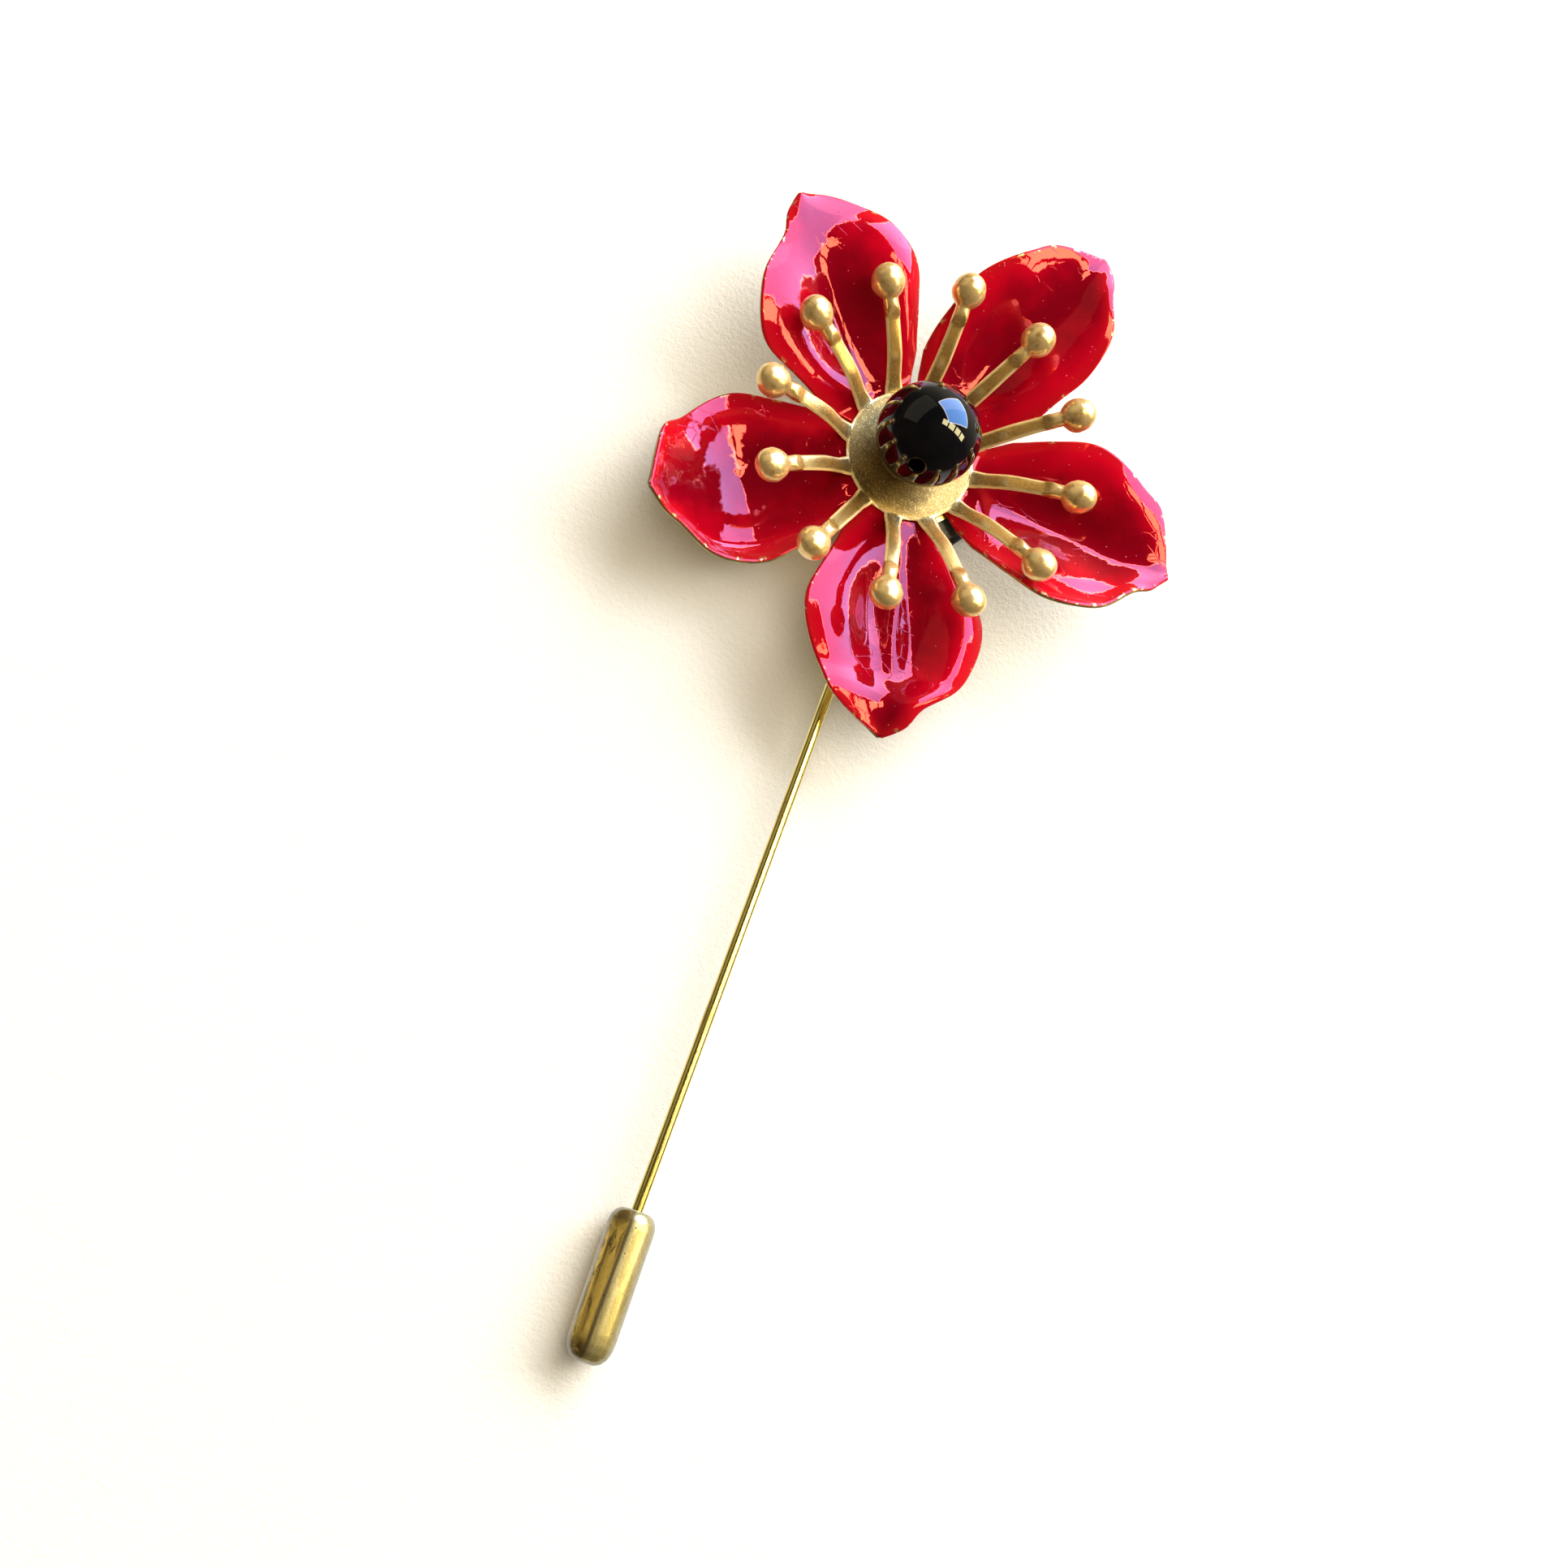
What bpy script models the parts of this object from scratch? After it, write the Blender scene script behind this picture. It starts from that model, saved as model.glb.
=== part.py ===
"""Flower hat pin: a straight pin with a flower head, and a bullet clutch on its point.

Metres, +Z up. The flower lies on its round backing, whose back face is the plane Z = 0, and
the centre of that face is the origin. The pin runs along -Y, and the head sits a little to
one side of it. From the back, the head is a stack: backing, glue and solder round the pin's
root, brass pad, five petals, stamen stamping, rivet through the middle, glue, and the bead.
"""

from collections import namedtuple
from math import asin, cos, exp, pi, radians, sin, sqrt, tan

import bmesh
import bpy
from mathutils import Matrix, Vector

# Gap that separates two pieces in contact, and the running gap of the pin in its clutch.
CONTACT_GAP = 0.00005
PIN_RUNNING_GAP = 0.00006

# Pin and clutch. The clutch rests on the plane Z = 0, so its radius sets the pin's height.
PIN_RADIUS = 0.00046
PIN_ROOT_Y = -0.0020
PIN_DEPTH_IN_CLUTCH = 0.0100
PIN_POINT_LENGTH = 0.0045
CLUTCH_RADIUS = 0.00195
CLUTCH_LENGTH = 0.0125
CLUTCH_WALL = 0.0004
CLUTCH_MOUTH_Y = -0.0687
CLUTCH_MOUTH_HOLE_RADIUS = 0.00085
CLUTCH_SKEW = radians(1.0)
LINER_START = 0.0011
LINER_LENGTH = 0.0066

# Layers of the head, from the back. The head's own axis stands beside the pin's.
HEAD_X = -0.00087
BACKING_RADIUS = 0.0077
BACKING_EDGE_ROUND = 0.00025
GLUE_BED_RADIUS = 0.0072
GLUE_POCKET_RADIUS = 0.0026
SOLDER_HALF_WIDTH = 0.00165
SOLDER_FAR_Y = -0.0056
SOLDER_BACK_WALL = 0.0002
PAD_RADIUS = 0.0062
PAD_THICKNESS = 0.0004
PETAL_THICKNESS = 0.00045
HUB_RADIUS = 0.0058
HUB_THICKNESS = 0.0004

RIVET_SHANK_RADIUS = 0.0008
RIVET_TOP_RADIUS = 0.0014
RIVET_TOP_HEIGHT = 0.0003
RIVET_BACK_RADIUS = 0.0015
RIVET_BACK_HEIGHT = 0.00045

# Stamens: strips that rise from the hub in a bow to a knee, then run flatter to a ball.
STAMEN_COUNT = 12
STAMEN_FIRST_AZIMUTH = radians(4.6)
STAMEN_HALF_WIDTH = 0.00066
STAMEN_THICKNESS = 0.00036
STAMEN_BOW_RADIUS = 0.0086
STAMEN_BOW_RISE = 0.0023
STAMEN_KNEE_RADIUS = 0.0116
STAMEN_KNEE_RISE = 0.0039
BALL_CENTRE_RADIUS = 0.0143
BALL_CENTRE_RISE = 0.0047
BALL_RADIUS = 0.00146

BEAD_RADIUS = 0.0045
BEAD_OFFSET = (-0.0002, 0.0003)
BEAD_HOLE_RADIUS = 0.00055
BEAD_HOLE_DIRECTION = Vector((-0.11, -0.89, 0.44)).normalized()
BEAD_GLUE_RADIUS = 0.0026

# Petals are stamped alike and bent by hand, so each one differs a little.
PETAL_COUNT = 5
PETAL_1_AZIMUTH = radians(141.0)
PETAL_START = 0.0012
PETAL_BOWL_START = 0.0063
NECK_END = 0.0080
NECK_GAP = 0.0007
TIP_HALF_WIDTH = 0.00015
# Half-width of the blade at distances from the flower's axis, before it is bent and stretched.
BLADE = ((0.0080, 0.00538), (0.0112, 0.0066), (0.0148, 0.0075), (0.0184, 0.0066),
         (0.0214, 0.0047), (0.0235, 0.00240), (0.0248, TIP_HALF_WIDTH))
BLADE_TIP = BLADE[-1][0]
# Near the tip each side is drawn in (or out, if negative) by a share of its half-width.
HOLLOW_CENTRE = 0.0223
HOLLOW_SPREAD = 0.0016
BOWL_END = 0.85
BRIM_START = 0.68
PETAL_RIPPLE = 0.00016
# rise is the height of the middle line along the blade, as (share of the blade, height) points.
# The bowl is cup deep and ends at bowl_reach of the blade. A brim is how far that side's outer
# rim curls up, or down where it is below 0. twist is the outer blade's slope toward its left.
PetalForm = namedtuple("PetalForm", "turn length width cup bowl_reach tip_shift left_hollow "
                       "right_hollow left_brim right_brim twist wave rise")
PETAL_FORMS = (
    PetalForm(radians(0.0), 0.0241, 1.10, 0.0020, 0.80, -0.0017, 0.30, 0.05, 0.0, -0.0009, 0.12,
              0.4, ((0.0, 0.0), (0.3, 0.0010), (0.55, 0.0028), (0.72, 0.0037), (1.0, 0.0036))),
    PetalForm(radians(0.6), 0.0252, 0.88, 0.0018, 1.0, -0.0010, -0.13, 0.22, 0.0003, 0.0, 0.0,
              1.9, ((0.0, 0.0), (0.3, 0.0010), (0.7, 0.0036), (0.88, 0.0044), (1.0, 0.0042))),
    PetalForm(radians(1.0), 0.0248, 1.04, 0.0022, 1.0, -0.0005, -0.23, 0.27, 0.0, 0.0012, -0.06,
              3.1, ((0.0, 0.0), (0.3, 0.0005), (0.6, 0.0021), (0.85, 0.0032), (1.0, 0.0034))),
    PetalForm(radians(-2.2), 0.0257, 1.09, 0.0020, 1.0, -0.0001, 0.30, -0.13, -0.0012, 0.0, 0.0,
              4.4, ((0.0, 0.0), (0.4, 0.0003), (0.7, 0.0014), (0.84, 0.0026), (1.0, 0.0022))),
    PetalForm(radians(-1.2), 0.0247, 1.02, 0.0003, 1.0, 0.0009, 0.18, -0.27, 0.0012, -0.0002, 0.0,
              5.6, ((0.0, 0.0), (0.45, -0.0010), (0.65, -0.0002), (0.88, 0.0024), (1.0, 0.0042))),
)
PETAL_ROWS = 18
PETAL_COLUMNS = 9

PIN_AXIS_Z = CLUTCH_RADIUS
BACKING_THICKNESS = PIN_AXIS_Z - PIN_RADIUS - CONTACT_GAP
PAD_BOTTOM = PIN_AXIS_Z + PIN_RADIUS + CONTACT_GAP
PAD_TOP = PAD_BOTTOM + PAD_THICKNESS
PETAL_MIDDLE_Z = PAD_TOP + CONTACT_GAP + PETAL_THICKNESS / 2
HUB_BOTTOM = PAD_TOP + PETAL_THICKNESS + 2 * CONTACT_GAP
HUB_TOP = HUB_BOTTOM + HUB_THICKNESS
RIVET_TOP = HUB_TOP + CONTACT_GAP + RIVET_TOP_HEIGHT
BEAD_CENTRE_Z = RIVET_TOP + CONTACT_GAP + BEAD_RADIUS


def clear_scene():
    for obj in list(bpy.data.objects):
        bpy.data.objects.remove(obj, do_unlink=True)


def material(name, colour, roughness, metallic):
    made = bpy.data.materials.new(name)
    made.use_nodes = True
    shader = made.node_tree.nodes["Principled BSDF"]
    shader.inputs["Base Color"].default_value = (*colour, 1.0)
    shader.inputs["Roughness"].default_value = roughness
    shader.inputs["Metallic"].default_value = metallic
    return made


def add_object(name, bm, finish, frame=None):
    """Turns a bmesh into a named object with outward faces and smooth round sides."""
    bmesh.ops.recalc_face_normals(bm, faces=bm.faces)
    mesh = bpy.data.meshes.new(name)
    bm.to_mesh(mesh)
    bm.free()
    mesh.shade_smooth()
    mesh.set_sharp_from_angle(angle=radians(35))
    obj = bpy.data.objects.new(name, mesh)
    bpy.context.scene.collection.objects.link(obj)
    obj.parent = frame
    if finish is not None:
        mesh.materials.append(finish)
    return obj


def add_frame(name, location, rotation=(0, 0, 0)):
    """An empty that carries the pieces placed on it."""
    empty = bpy.data.objects.new(name, None)
    bpy.context.scene.collection.objects.link(empty)
    empty.location = location
    empty.rotation_euler = rotation
    return empty


def hide_as_helper(obj):
    obj.hide_render = True
    obj.display_type = "WIRE"


def boolean(obj, operation, other):
    modifier = obj.modifiers.new(operation.title(), "BOOLEAN")
    modifier.operation = operation
    modifier.solver = "EXACT"
    modifier.object = other
    hide_as_helper(other)


def bridge(bm, first, second):
    """Joins two rings of points, either of which may be a single point on the axis."""
    count = max(len(first), len(second))
    for i in range(count):
        j = (i + 1) % count
        corners = [first[i % len(first)], first[j % len(first)]]
        corners += [second[j % len(second)], second[i % len(second)]]
        bm.faces.new(list(dict.fromkeys(corners)))


def turned(profile, segments, is_ring=False):
    """Turns (radius, height) points about Z. A ring's profile is a closed outline."""
    bm = bmesh.new()
    rings = []
    for radius, height in profile:
        if radius == 0:
            rings.append([bm.verts.new((0, 0, height))])
            continue
        angles = [2 * pi * i / segments for i in range(segments)]
        rings.append([bm.verts.new((radius * cos(a), radius * sin(a), height)) for a in angles])
    for first, second in zip(rings, rings[1:]):
        bridge(bm, first, second)
    if is_ring:
        bridge(bm, rings[-1], rings[0])
    return bm


def plate_ring(inner, outer, bottom, top, segments, edge_round=0.0):
    """A flat washer, with its outer edges eased by edge_round."""
    ease = edge_round
    profile = [(inner, bottom), (inner, top), (outer - ease, top), (outer, top - ease)]
    profile += [(outer, bottom + ease), (outer - ease, bottom)]
    return turned(list(dict.fromkeys(profile)), segments, is_ring=True)


def extruded(outline, bottom, top):
    bm = bmesh.new()
    base = bm.faces.new([bm.verts.new((x, y, bottom)) for x, y in outline])
    lifted = bmesh.ops.extrude_face_region(bm, geom=[base])["geom"]
    moved = [item for item in lifted if isinstance(item, bmesh.types.BMVert)]
    bmesh.ops.translate(bm, verts=moved, vec=(0, 0, top - bottom))
    return bm


def arc(radius, start, end, steps):
    angles = [start + (end - start) * i / steps for i in range(steps + 1)]
    return [(radius * cos(a), radius * sin(a)) for a in angles]


def smooth_step(low, high, value):
    t = min(max((value - low) / (high - low), 0.0), 1.0)
    return t * t * (3 - 2 * t)


def smooth_curve(points, x):
    """Catmull-Rom curve through (x, y) points whose x rises, read at x."""
    last = len(points) - 2
    k = max(i for i in range(last + 1) if x >= points[i][0] or i == 0)
    (x1, y1), (x2, y2) = points[k], points[k + 1]
    before = points[max(k - 1, 0)]
    after = points[min(k + 2, last + 1)]
    slope1 = (y2 - before[1]) / (x2 - before[0])
    slope2 = (after[1] - y1) / (after[0] - x1)
    span = x2 - x1
    t = (x - x1) / span
    bend1 = (t ** 3 - 2 * t ** 2 + t) * slope1 * span
    bend2 = (t ** 3 - t ** 2) * slope2 * span
    return (2 * t ** 3 - 3 * t ** 2 + 1) * y1 + (3 * t ** 2 - 2 * t ** 3) * y2 + bend1 + bend2


def petal_half_width(place, hollow, form):
    """Half-width on one side, at a place given as a distance along the unstretched blade."""
    if place <= NECK_END:
        return place * tan(pi / PETAL_COUNT) - NECK_GAP / 2 / cos(pi / PETAL_COUNT)
    grown = 1 + (form.width - 1) * smooth_step(NECK_END, 0.014, place)
    drawn = 1 - hollow * exp(-((place - HOLLOW_CENTRE) / HOLLOW_SPREAD) ** 2)
    return smooth_curve(BLADE, place) * grown * drawn


def petal_height(place, across, form):
    """Height of the petal above its flat tab, where across runs from -1 to 1."""
    blade = min(max(place - PETAL_BOWL_START, 0) / (BLADE_TIP - PETAL_BOWL_START), 1)
    filled = min(blade / form.bowl_reach, 1)
    bowl = sin(pi * filled ** 0.85) ** 1.2 if 0 < filled < 1 else 0
    outer = max(abs(across) - BRIM_START, 0) / (1 - BRIM_START)
    brim = form.left_brim if across > 0 else form.right_brim
    sides = form.cup * smooth_step(0, BOWL_END, abs(across)) + brim * outer ** 2
    wave = sin(560 * place + form.wave) * sin(2.6 * across + 2 * form.wave)
    ripple = PETAL_RIPPLE * wave * smooth_step(0.1, 0.4, blade)
    return smooth_curve(form.rise, blade) + bowl * sides + ripple


def petal_point(place, across, form):
    stretch = (form.length - NECK_END) / (BLADE_TIP - NECK_END)
    reach = place if place <= NECK_END else NECK_END + (place - NECK_END) * stretch
    hollow = form.left_hollow if across > 0 else form.right_hollow
    half_width = petal_half_width(place, hollow, form)
    shift = form.tip_shift * smooth_step(0.012, BLADE_TIP, place)
    side = across * half_width + shift
    blade = (place - PETAL_BOWL_START) / (BLADE_TIP - PETAL_BOWL_START)
    height = petal_height(place, across, form) + form.twist * side * smooth_step(0.4, 0.8, blade)
    return Vector((reach, side, height))


def petal_sheet(form):
    """The petal's middle surface, pointing along +X."""
    bm = bmesh.new()
    rows = []
    for i in range(PETAL_ROWS):
        place = PETAL_START + (BLADE_TIP - PETAL_START) * (i / (PETAL_ROWS - 1)) ** 0.9
        acrosses = [2 * j / (PETAL_COLUMNS - 1) - 1 for j in range(PETAL_COLUMNS)]
        rows.append([bm.verts.new(petal_point(place, across, form)) for across in acrosses])
    for low, high in zip(rows, rows[1:]):
        for j in range(PETAL_COLUMNS - 1):
            bm.faces.new((low[j], high[j], high[j + 1], low[j + 1]))
    return bm


def make_petals(frame, finish):
    for i, form in enumerate(PETAL_FORMS):
        petal = add_object(f"petal_{i + 1}", petal_sheet(form), finish, frame)
        petal.location.z = PETAL_MIDDLE_Z
        petal.rotation_euler.z = PETAL_1_AZIMUTH + form.turn - 2 * pi * i / PETAL_COUNT
        thicken = petal.modifiers.new("Sheet", "SOLIDIFY")
        thicken.thickness = PETAL_THICKNESS
        thicken.offset = 0
        thicken.use_even_offset = True


def stamen_path():
    """(radius, height, half-width, half-thickness) along one stamen's middle line."""
    hub_middle = HUB_BOTTOM + HUB_THICKNESS / 2
    wide = STAMEN_HALF_WIDTH
    thin = STAMEN_THICKNESS / 2
    neck = STAMEN_KNEE_RADIUS + 0.0008
    neck_rise = STAMEN_KNEE_RISE + 0.0003
    return (
        (HUB_RADIUS - 0.0010, hub_middle, wide * 1.2, thin),
        (HUB_RADIUS + 0.0001, hub_middle + 0.0001, wide * 1.2, thin),
        (HUB_RADIUS + 0.0010, hub_middle + 0.0007, wide, thin),
        (STAMEN_BOW_RADIUS, hub_middle + STAMEN_BOW_RISE, wide, thin),
        (STAMEN_KNEE_RADIUS, hub_middle + STAMEN_KNEE_RISE, wide, thin * 1.3),
        (neck, hub_middle + neck_rise, wide * 0.9, thin * 2.2),
        (BALL_CENTRE_RADIUS - 0.0004, hub_middle + BALL_CENTRE_RISE, wide * 0.8, thin * 2.4),
    )


def stamen_strips():
    """All the stamens' strips, with their inner ends inside the hub."""
    bm = bmesh.new()
    corners = ((-1, -1), (1, -1), (1, 0.3), (0.55, 1), (-0.55, 1), (-1, 0.3))
    for i in range(STAMEN_COUNT):
        turn = Matrix.Rotation(STAMEN_FIRST_AZIMUTH + 2 * pi * i / STAMEN_COUNT, 3, "Z")
        rings = []
        for radius, height, wide, thin in stamen_path():
            ring = [Vector((radius, x * wide, height + z * thin)) for x, z in corners]
            rings.append([bm.verts.new(turn @ point) for point in ring])
        for first, second in zip(rings, rings[1:]):
            bridge(bm, first, second)
        bm.faces.new(rings[0])
        bm.faces.new(rings[-1])
    return bm


def stamen_balls():
    bm = bmesh.new()
    height = HUB_BOTTOM + HUB_THICKNESS / 2 + BALL_CENTRE_RISE
    for i in range(STAMEN_COUNT):
        azimuth = STAMEN_FIRST_AZIMUTH + 2 * pi * i / STAMEN_COUNT
        centre = (BALL_CENTRE_RADIUS * cos(azimuth), BALL_CENTRE_RADIUS * sin(azimuth), height)
        place = Matrix.Translation(centre) @ Matrix.Rotation(azimuth, 4, "Z")
        bmesh.ops.create_uvsphere(
            bm, u_segments=12, v_segments=7, radius=BALL_RADIUS, matrix=place)
    return bm


def make_stamen_stamping(frame, finish):
    hole = RIVET_SHANK_RADIUS + CONTACT_GAP
    hub = plate_ring(hole, HUB_RADIUS, HUB_BOTTOM, HUB_TOP, 48)
    stamping = add_object("stamen_stamping", hub, finish, frame)
    boolean(stamping, "UNION", add_object("stamen_strips", stamen_strips(), None, frame))
    boolean(stamping, "UNION", add_object("stamen_balls", stamen_balls(), None, frame))


def make_backing(finish):
    profile = [(0, 0), (BACKING_RADIUS - BACKING_EDGE_ROUND, 0)]
    profile += [(BACKING_RADIUS, BACKING_EDGE_ROUND)]
    profile += [(BACKING_RADIUS, BACKING_THICKNESS - BACKING_EDGE_ROUND)]
    profile += [(BACKING_RADIUS - BACKING_EDGE_ROUND, BACKING_THICKNESS), (0, BACKING_THICKNESS)]
    add_object("backing_disc", turned(profile, 64), finish)


def make_glue_bed(finish):
    """A disc of glue with a long pocket for the rivet and the solder, and a slot for the pin."""
    slot = PIN_RADIUS + CONTACT_GAP
    pocket_end = SOLDER_FAR_Y - CONTACT_GAP
    left = HEAD_X - GLUE_POCKET_RADIUS
    right = HEAD_X + GLUE_POCKET_RADIUS
    slot_angle = asin(slot / GLUE_BED_RADIUS)
    outline = arc(GLUE_BED_RADIUS, slot_angle - pi / 2, 3 * pi / 2 - slot_angle, 48)
    outline += [(-slot, pocket_end), (left, pocket_end)]
    outline += [(HEAD_X + x, y) for x, y in arc(GLUE_POCKET_RADIUS, pi, 0, 16)]
    outline += [(right, pocket_end), (slot, pocket_end)]
    bottom = BACKING_THICKNESS + CONTACT_GAP
    add_object("glue_bed", extruded(outline, bottom, PAD_BOTTOM - CONTACT_GAP), finish)


def make_solder(finish):
    """A block of solder that holds the pin's root from both sides and from behind."""
    slot = PIN_RADIUS + CONTACT_GAP
    root = PIN_ROOT_Y + CONTACT_GAP
    back = root + SOLDER_BACK_WALL
    wide = SOLDER_HALF_WIDTH
    outline = [(slot, SOLDER_FAR_Y), (wide, SOLDER_FAR_Y), (wide, back), (-wide, back)]
    outline += [(-wide, SOLDER_FAR_Y), (-slot, SOLDER_FAR_Y), (-slot, root), (slot, root)]
    bottom = BACKING_THICKNESS + CONTACT_GAP
    add_object("solder_joint", extruded(outline, bottom, PAD_BOTTOM - CONTACT_GAP), finish)


def make_pad(frame, finish):
    hole = RIVET_SHANK_RADIUS + CONTACT_GAP
    disc = plate_ring(hole, PAD_RADIUS, PAD_BOTTOM, PAD_TOP, 48)
    add_object("pin_pad", disc, finish, frame)


def make_rivet(frame, finish):
    back_top = PAD_BOTTOM - CONTACT_GAP
    back_bottom = back_top - RIVET_BACK_HEIGHT
    front_bottom = HUB_TOP + CONTACT_GAP
    profile = [(0, back_bottom), (RIVET_BACK_RADIUS * 0.8, back_bottom)]
    profile += [(RIVET_BACK_RADIUS, back_bottom + RIVET_BACK_HEIGHT / 2)]
    profile += [(RIVET_BACK_RADIUS, back_top), (RIVET_SHANK_RADIUS, back_top)]
    profile += [(RIVET_SHANK_RADIUS, front_bottom), (RIVET_TOP_RADIUS, front_bottom)]
    profile += [(RIVET_TOP_RADIUS * 0.7, RIVET_TOP - 0.00005), (0, RIVET_TOP)]
    add_object("centre_rivet", turned(profile, 24), finish, frame)


def make_bead(frame, finish):
    centre = (*BEAD_OFFSET, BEAD_CENTRE_Z)
    bm = bmesh.new()
    bmesh.ops.create_uvsphere(bm, u_segments=28, v_segments=16, radius=BEAD_RADIUS)
    bead = add_object("bead", bm, finish, frame)
    bead.location = centre
    reach = 1.2 * BEAD_RADIUS
    profile = [(0, -reach), (BEAD_HOLE_RADIUS, -reach), (BEAD_HOLE_RADIUS, reach), (0, reach)]
    drill = add_object("bead_drill", turned(profile, 16), None, frame)
    drill.location = centre
    drill.rotation_mode = "QUATERNION"
    drill.rotation_quaternion = BEAD_HOLE_DIRECTION.to_track_quat("Z", "Y")
    boolean(bead, "DIFFERENCE", drill)


def make_bead_glue(frame, finish):
    """A ring of glue between the hub and the underside of the bead."""
    bottom = HUB_TOP + CONTACT_GAP
    inner = RIVET_TOP_RADIUS + Vector(BEAD_OFFSET).length + CONTACT_GAP
    outer = BEAD_GLUE_RADIUS
    seat = BEAD_RADIUS + CONTACT_GAP
    steps = 4
    radii = [outer + (inner - outer) * i / steps for i in range(steps + 1)]
    profile = [(inner, bottom), (outer + 0.0002, bottom)]
    profile += [(r, BEAD_CENTRE_Z - sqrt(seat ** 2 - r ** 2)) for r in radii]
    glue = add_object("bead_glue", turned(profile, 32, is_ring=True), finish, frame)
    glue.location = (*BEAD_OFFSET, 0)


def make_pin(finish):
    """The pin, from its root under the pad to its point inside the clutch."""
    length = PIN_ROOT_Y - CLUTCH_MOUTH_Y + PIN_DEPTH_IN_CLUTCH
    cone = length - PIN_POINT_LENGTH
    profile = [(0, 0), (PIN_RADIUS, 0), (PIN_RADIUS, cone)]
    profile += [(PIN_RADIUS * 0.72, cone + PIN_POINT_LENGTH * 0.5), (0, length)]
    pin = add_object("pin_stem", turned(profile, 16), finish)
    pin.location = (0, PIN_ROOT_Y, PIN_AXIS_Z)
    pin.rotation_euler.x = pi / 2


def make_clutch_shell(frame, finish):
    """A drawn brass cap: a rolled mouth, a straight barrel and a domed closed end."""
    outer = CLUTCH_RADIUS
    inner = CLUTCH_RADIUS - CLUTCH_WALL
    end = CLUTCH_LENGTH
    profile = [(0, end), (outer * 0.4, end - 0.00005), (outer * 0.66, end - 0.0003)]
    profile += [(outer * 0.87, end - 0.0008), (outer * 0.97, end - 0.0015), (outer, end - 0.0024)]
    profile += [(outer, 0.0014), (outer * 0.97, 0.0008), (outer * 0.86, 0.0003)]
    profile += [(outer * 0.66, 0), (CLUTCH_MOUTH_HOLE_RADIUS, 0)]
    profile += [(CLUTCH_MOUTH_HOLE_RADIUS, 0.0004), (inner, 0.0010)]
    profile += [(inner, end - 0.0024), (inner * 0.6, end - CLUTCH_WALL - 0.0003)]
    profile += [(0, end - CLUTCH_WALL)]
    add_object("clutch_shell", turned(profile, 28), finish, frame)


def make_clutch_liner(frame, finish):
    """The soft sleeve that grips the pin. Its bore follows the pin, a little askew."""
    outer = CLUTCH_RADIUS - CLUTCH_WALL - CONTACT_GAP
    start = LINER_START
    end = LINER_START + LINER_LENGTH
    ease = 0.0002
    profile = [(0, start), (outer - ease, start), (outer, start + ease)]
    profile += [(outer, end - ease), (outer - ease, end), (0, end)]
    liner = add_object("clutch_liner", turned(profile, 24), finish, frame)
    bore = PIN_RADIUS + PIN_RUNNING_GAP
    bore_end = end + 0.001
    profile = [(0, 0), (bore, 0), (bore, bore_end), (0, bore_end)]
    drill = add_object("liner_bore", turned(profile, 20), None)
    drill.location = (0, CLUTCH_MOUTH_Y, PIN_AXIS_Z)
    drill.rotation_euler.x = pi / 2
    boolean(liner, "DIFFERENCE", drill)


def main():
    clear_scene()
    red_enamel = material("red_enamel", (0.45, 0.006, 0.02), 0.15, 0.0)
    aged_brass = material("aged_brass", (0.53, 0.39, 0.17), 0.4, 1.0)
    gold_plate = material("gold_plate", (0.75, 0.58, 0.16), 0.2, 1.0)
    worn_gold = material("worn_gold", (0.62, 0.50, 0.24), 0.3, 1.0)
    black_stone = material("black_stone", (0.01, 0.01, 0.012), 0.05, 0.0)
    black_leather = material("black_leather", (0.02, 0.02, 0.02), 0.7, 0.0)
    black_glue = material("black_glue", (0.03, 0.03, 0.03), 0.5, 0.0)
    clear_glue = material("clear_glue", (0.5, 0.45, 0.35), 0.2, 0.0)
    tin_solder = material("tin_solder", (0.6, 0.6, 0.6), 0.35, 1.0)
    white_nylon = material("white_nylon", (0.8, 0.8, 0.76), 0.5, 0.0)
    head = add_frame("head_frame", (HEAD_X, 0, 0))
    clutch_place = (0, CLUTCH_MOUTH_Y, PIN_AXIS_Z)
    clutch = add_frame("clutch_frame", clutch_place, (pi / 2, 0, CLUTCH_SKEW))
    make_backing(black_leather)
    make_glue_bed(black_glue)
    make_solder(tin_solder)
    make_pin(gold_plate)
    make_pad(head, gold_plate)
    make_petals(head, red_enamel)
    make_stamen_stamping(head, aged_brass)
    make_rivet(head, aged_brass)
    make_bead_glue(head, clear_glue)
    make_bead(head, black_stone)
    make_clutch_shell(clutch, worn_gold)
    make_clutch_liner(clutch, white_nylon)


main()
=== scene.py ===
"""Looks of the flower hat pin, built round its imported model.

Metres, +Z up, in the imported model's frame. Petals, stamens, bead, pin, clutch and backing are
finer pieces that stand for their plain nodes; the hidden inner nodes stay and get materials.
Each petal is stamped alike and then bent by hand, so its dents and ridges are listed one by one.
"""

from collections import namedtuple
from math import atan2, cos, exp, pi, radians, sin, sqrt, tan

import bmesh
import bpy
import numpy as np
from mathutils import Matrix, Quaternion, Vector


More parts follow.
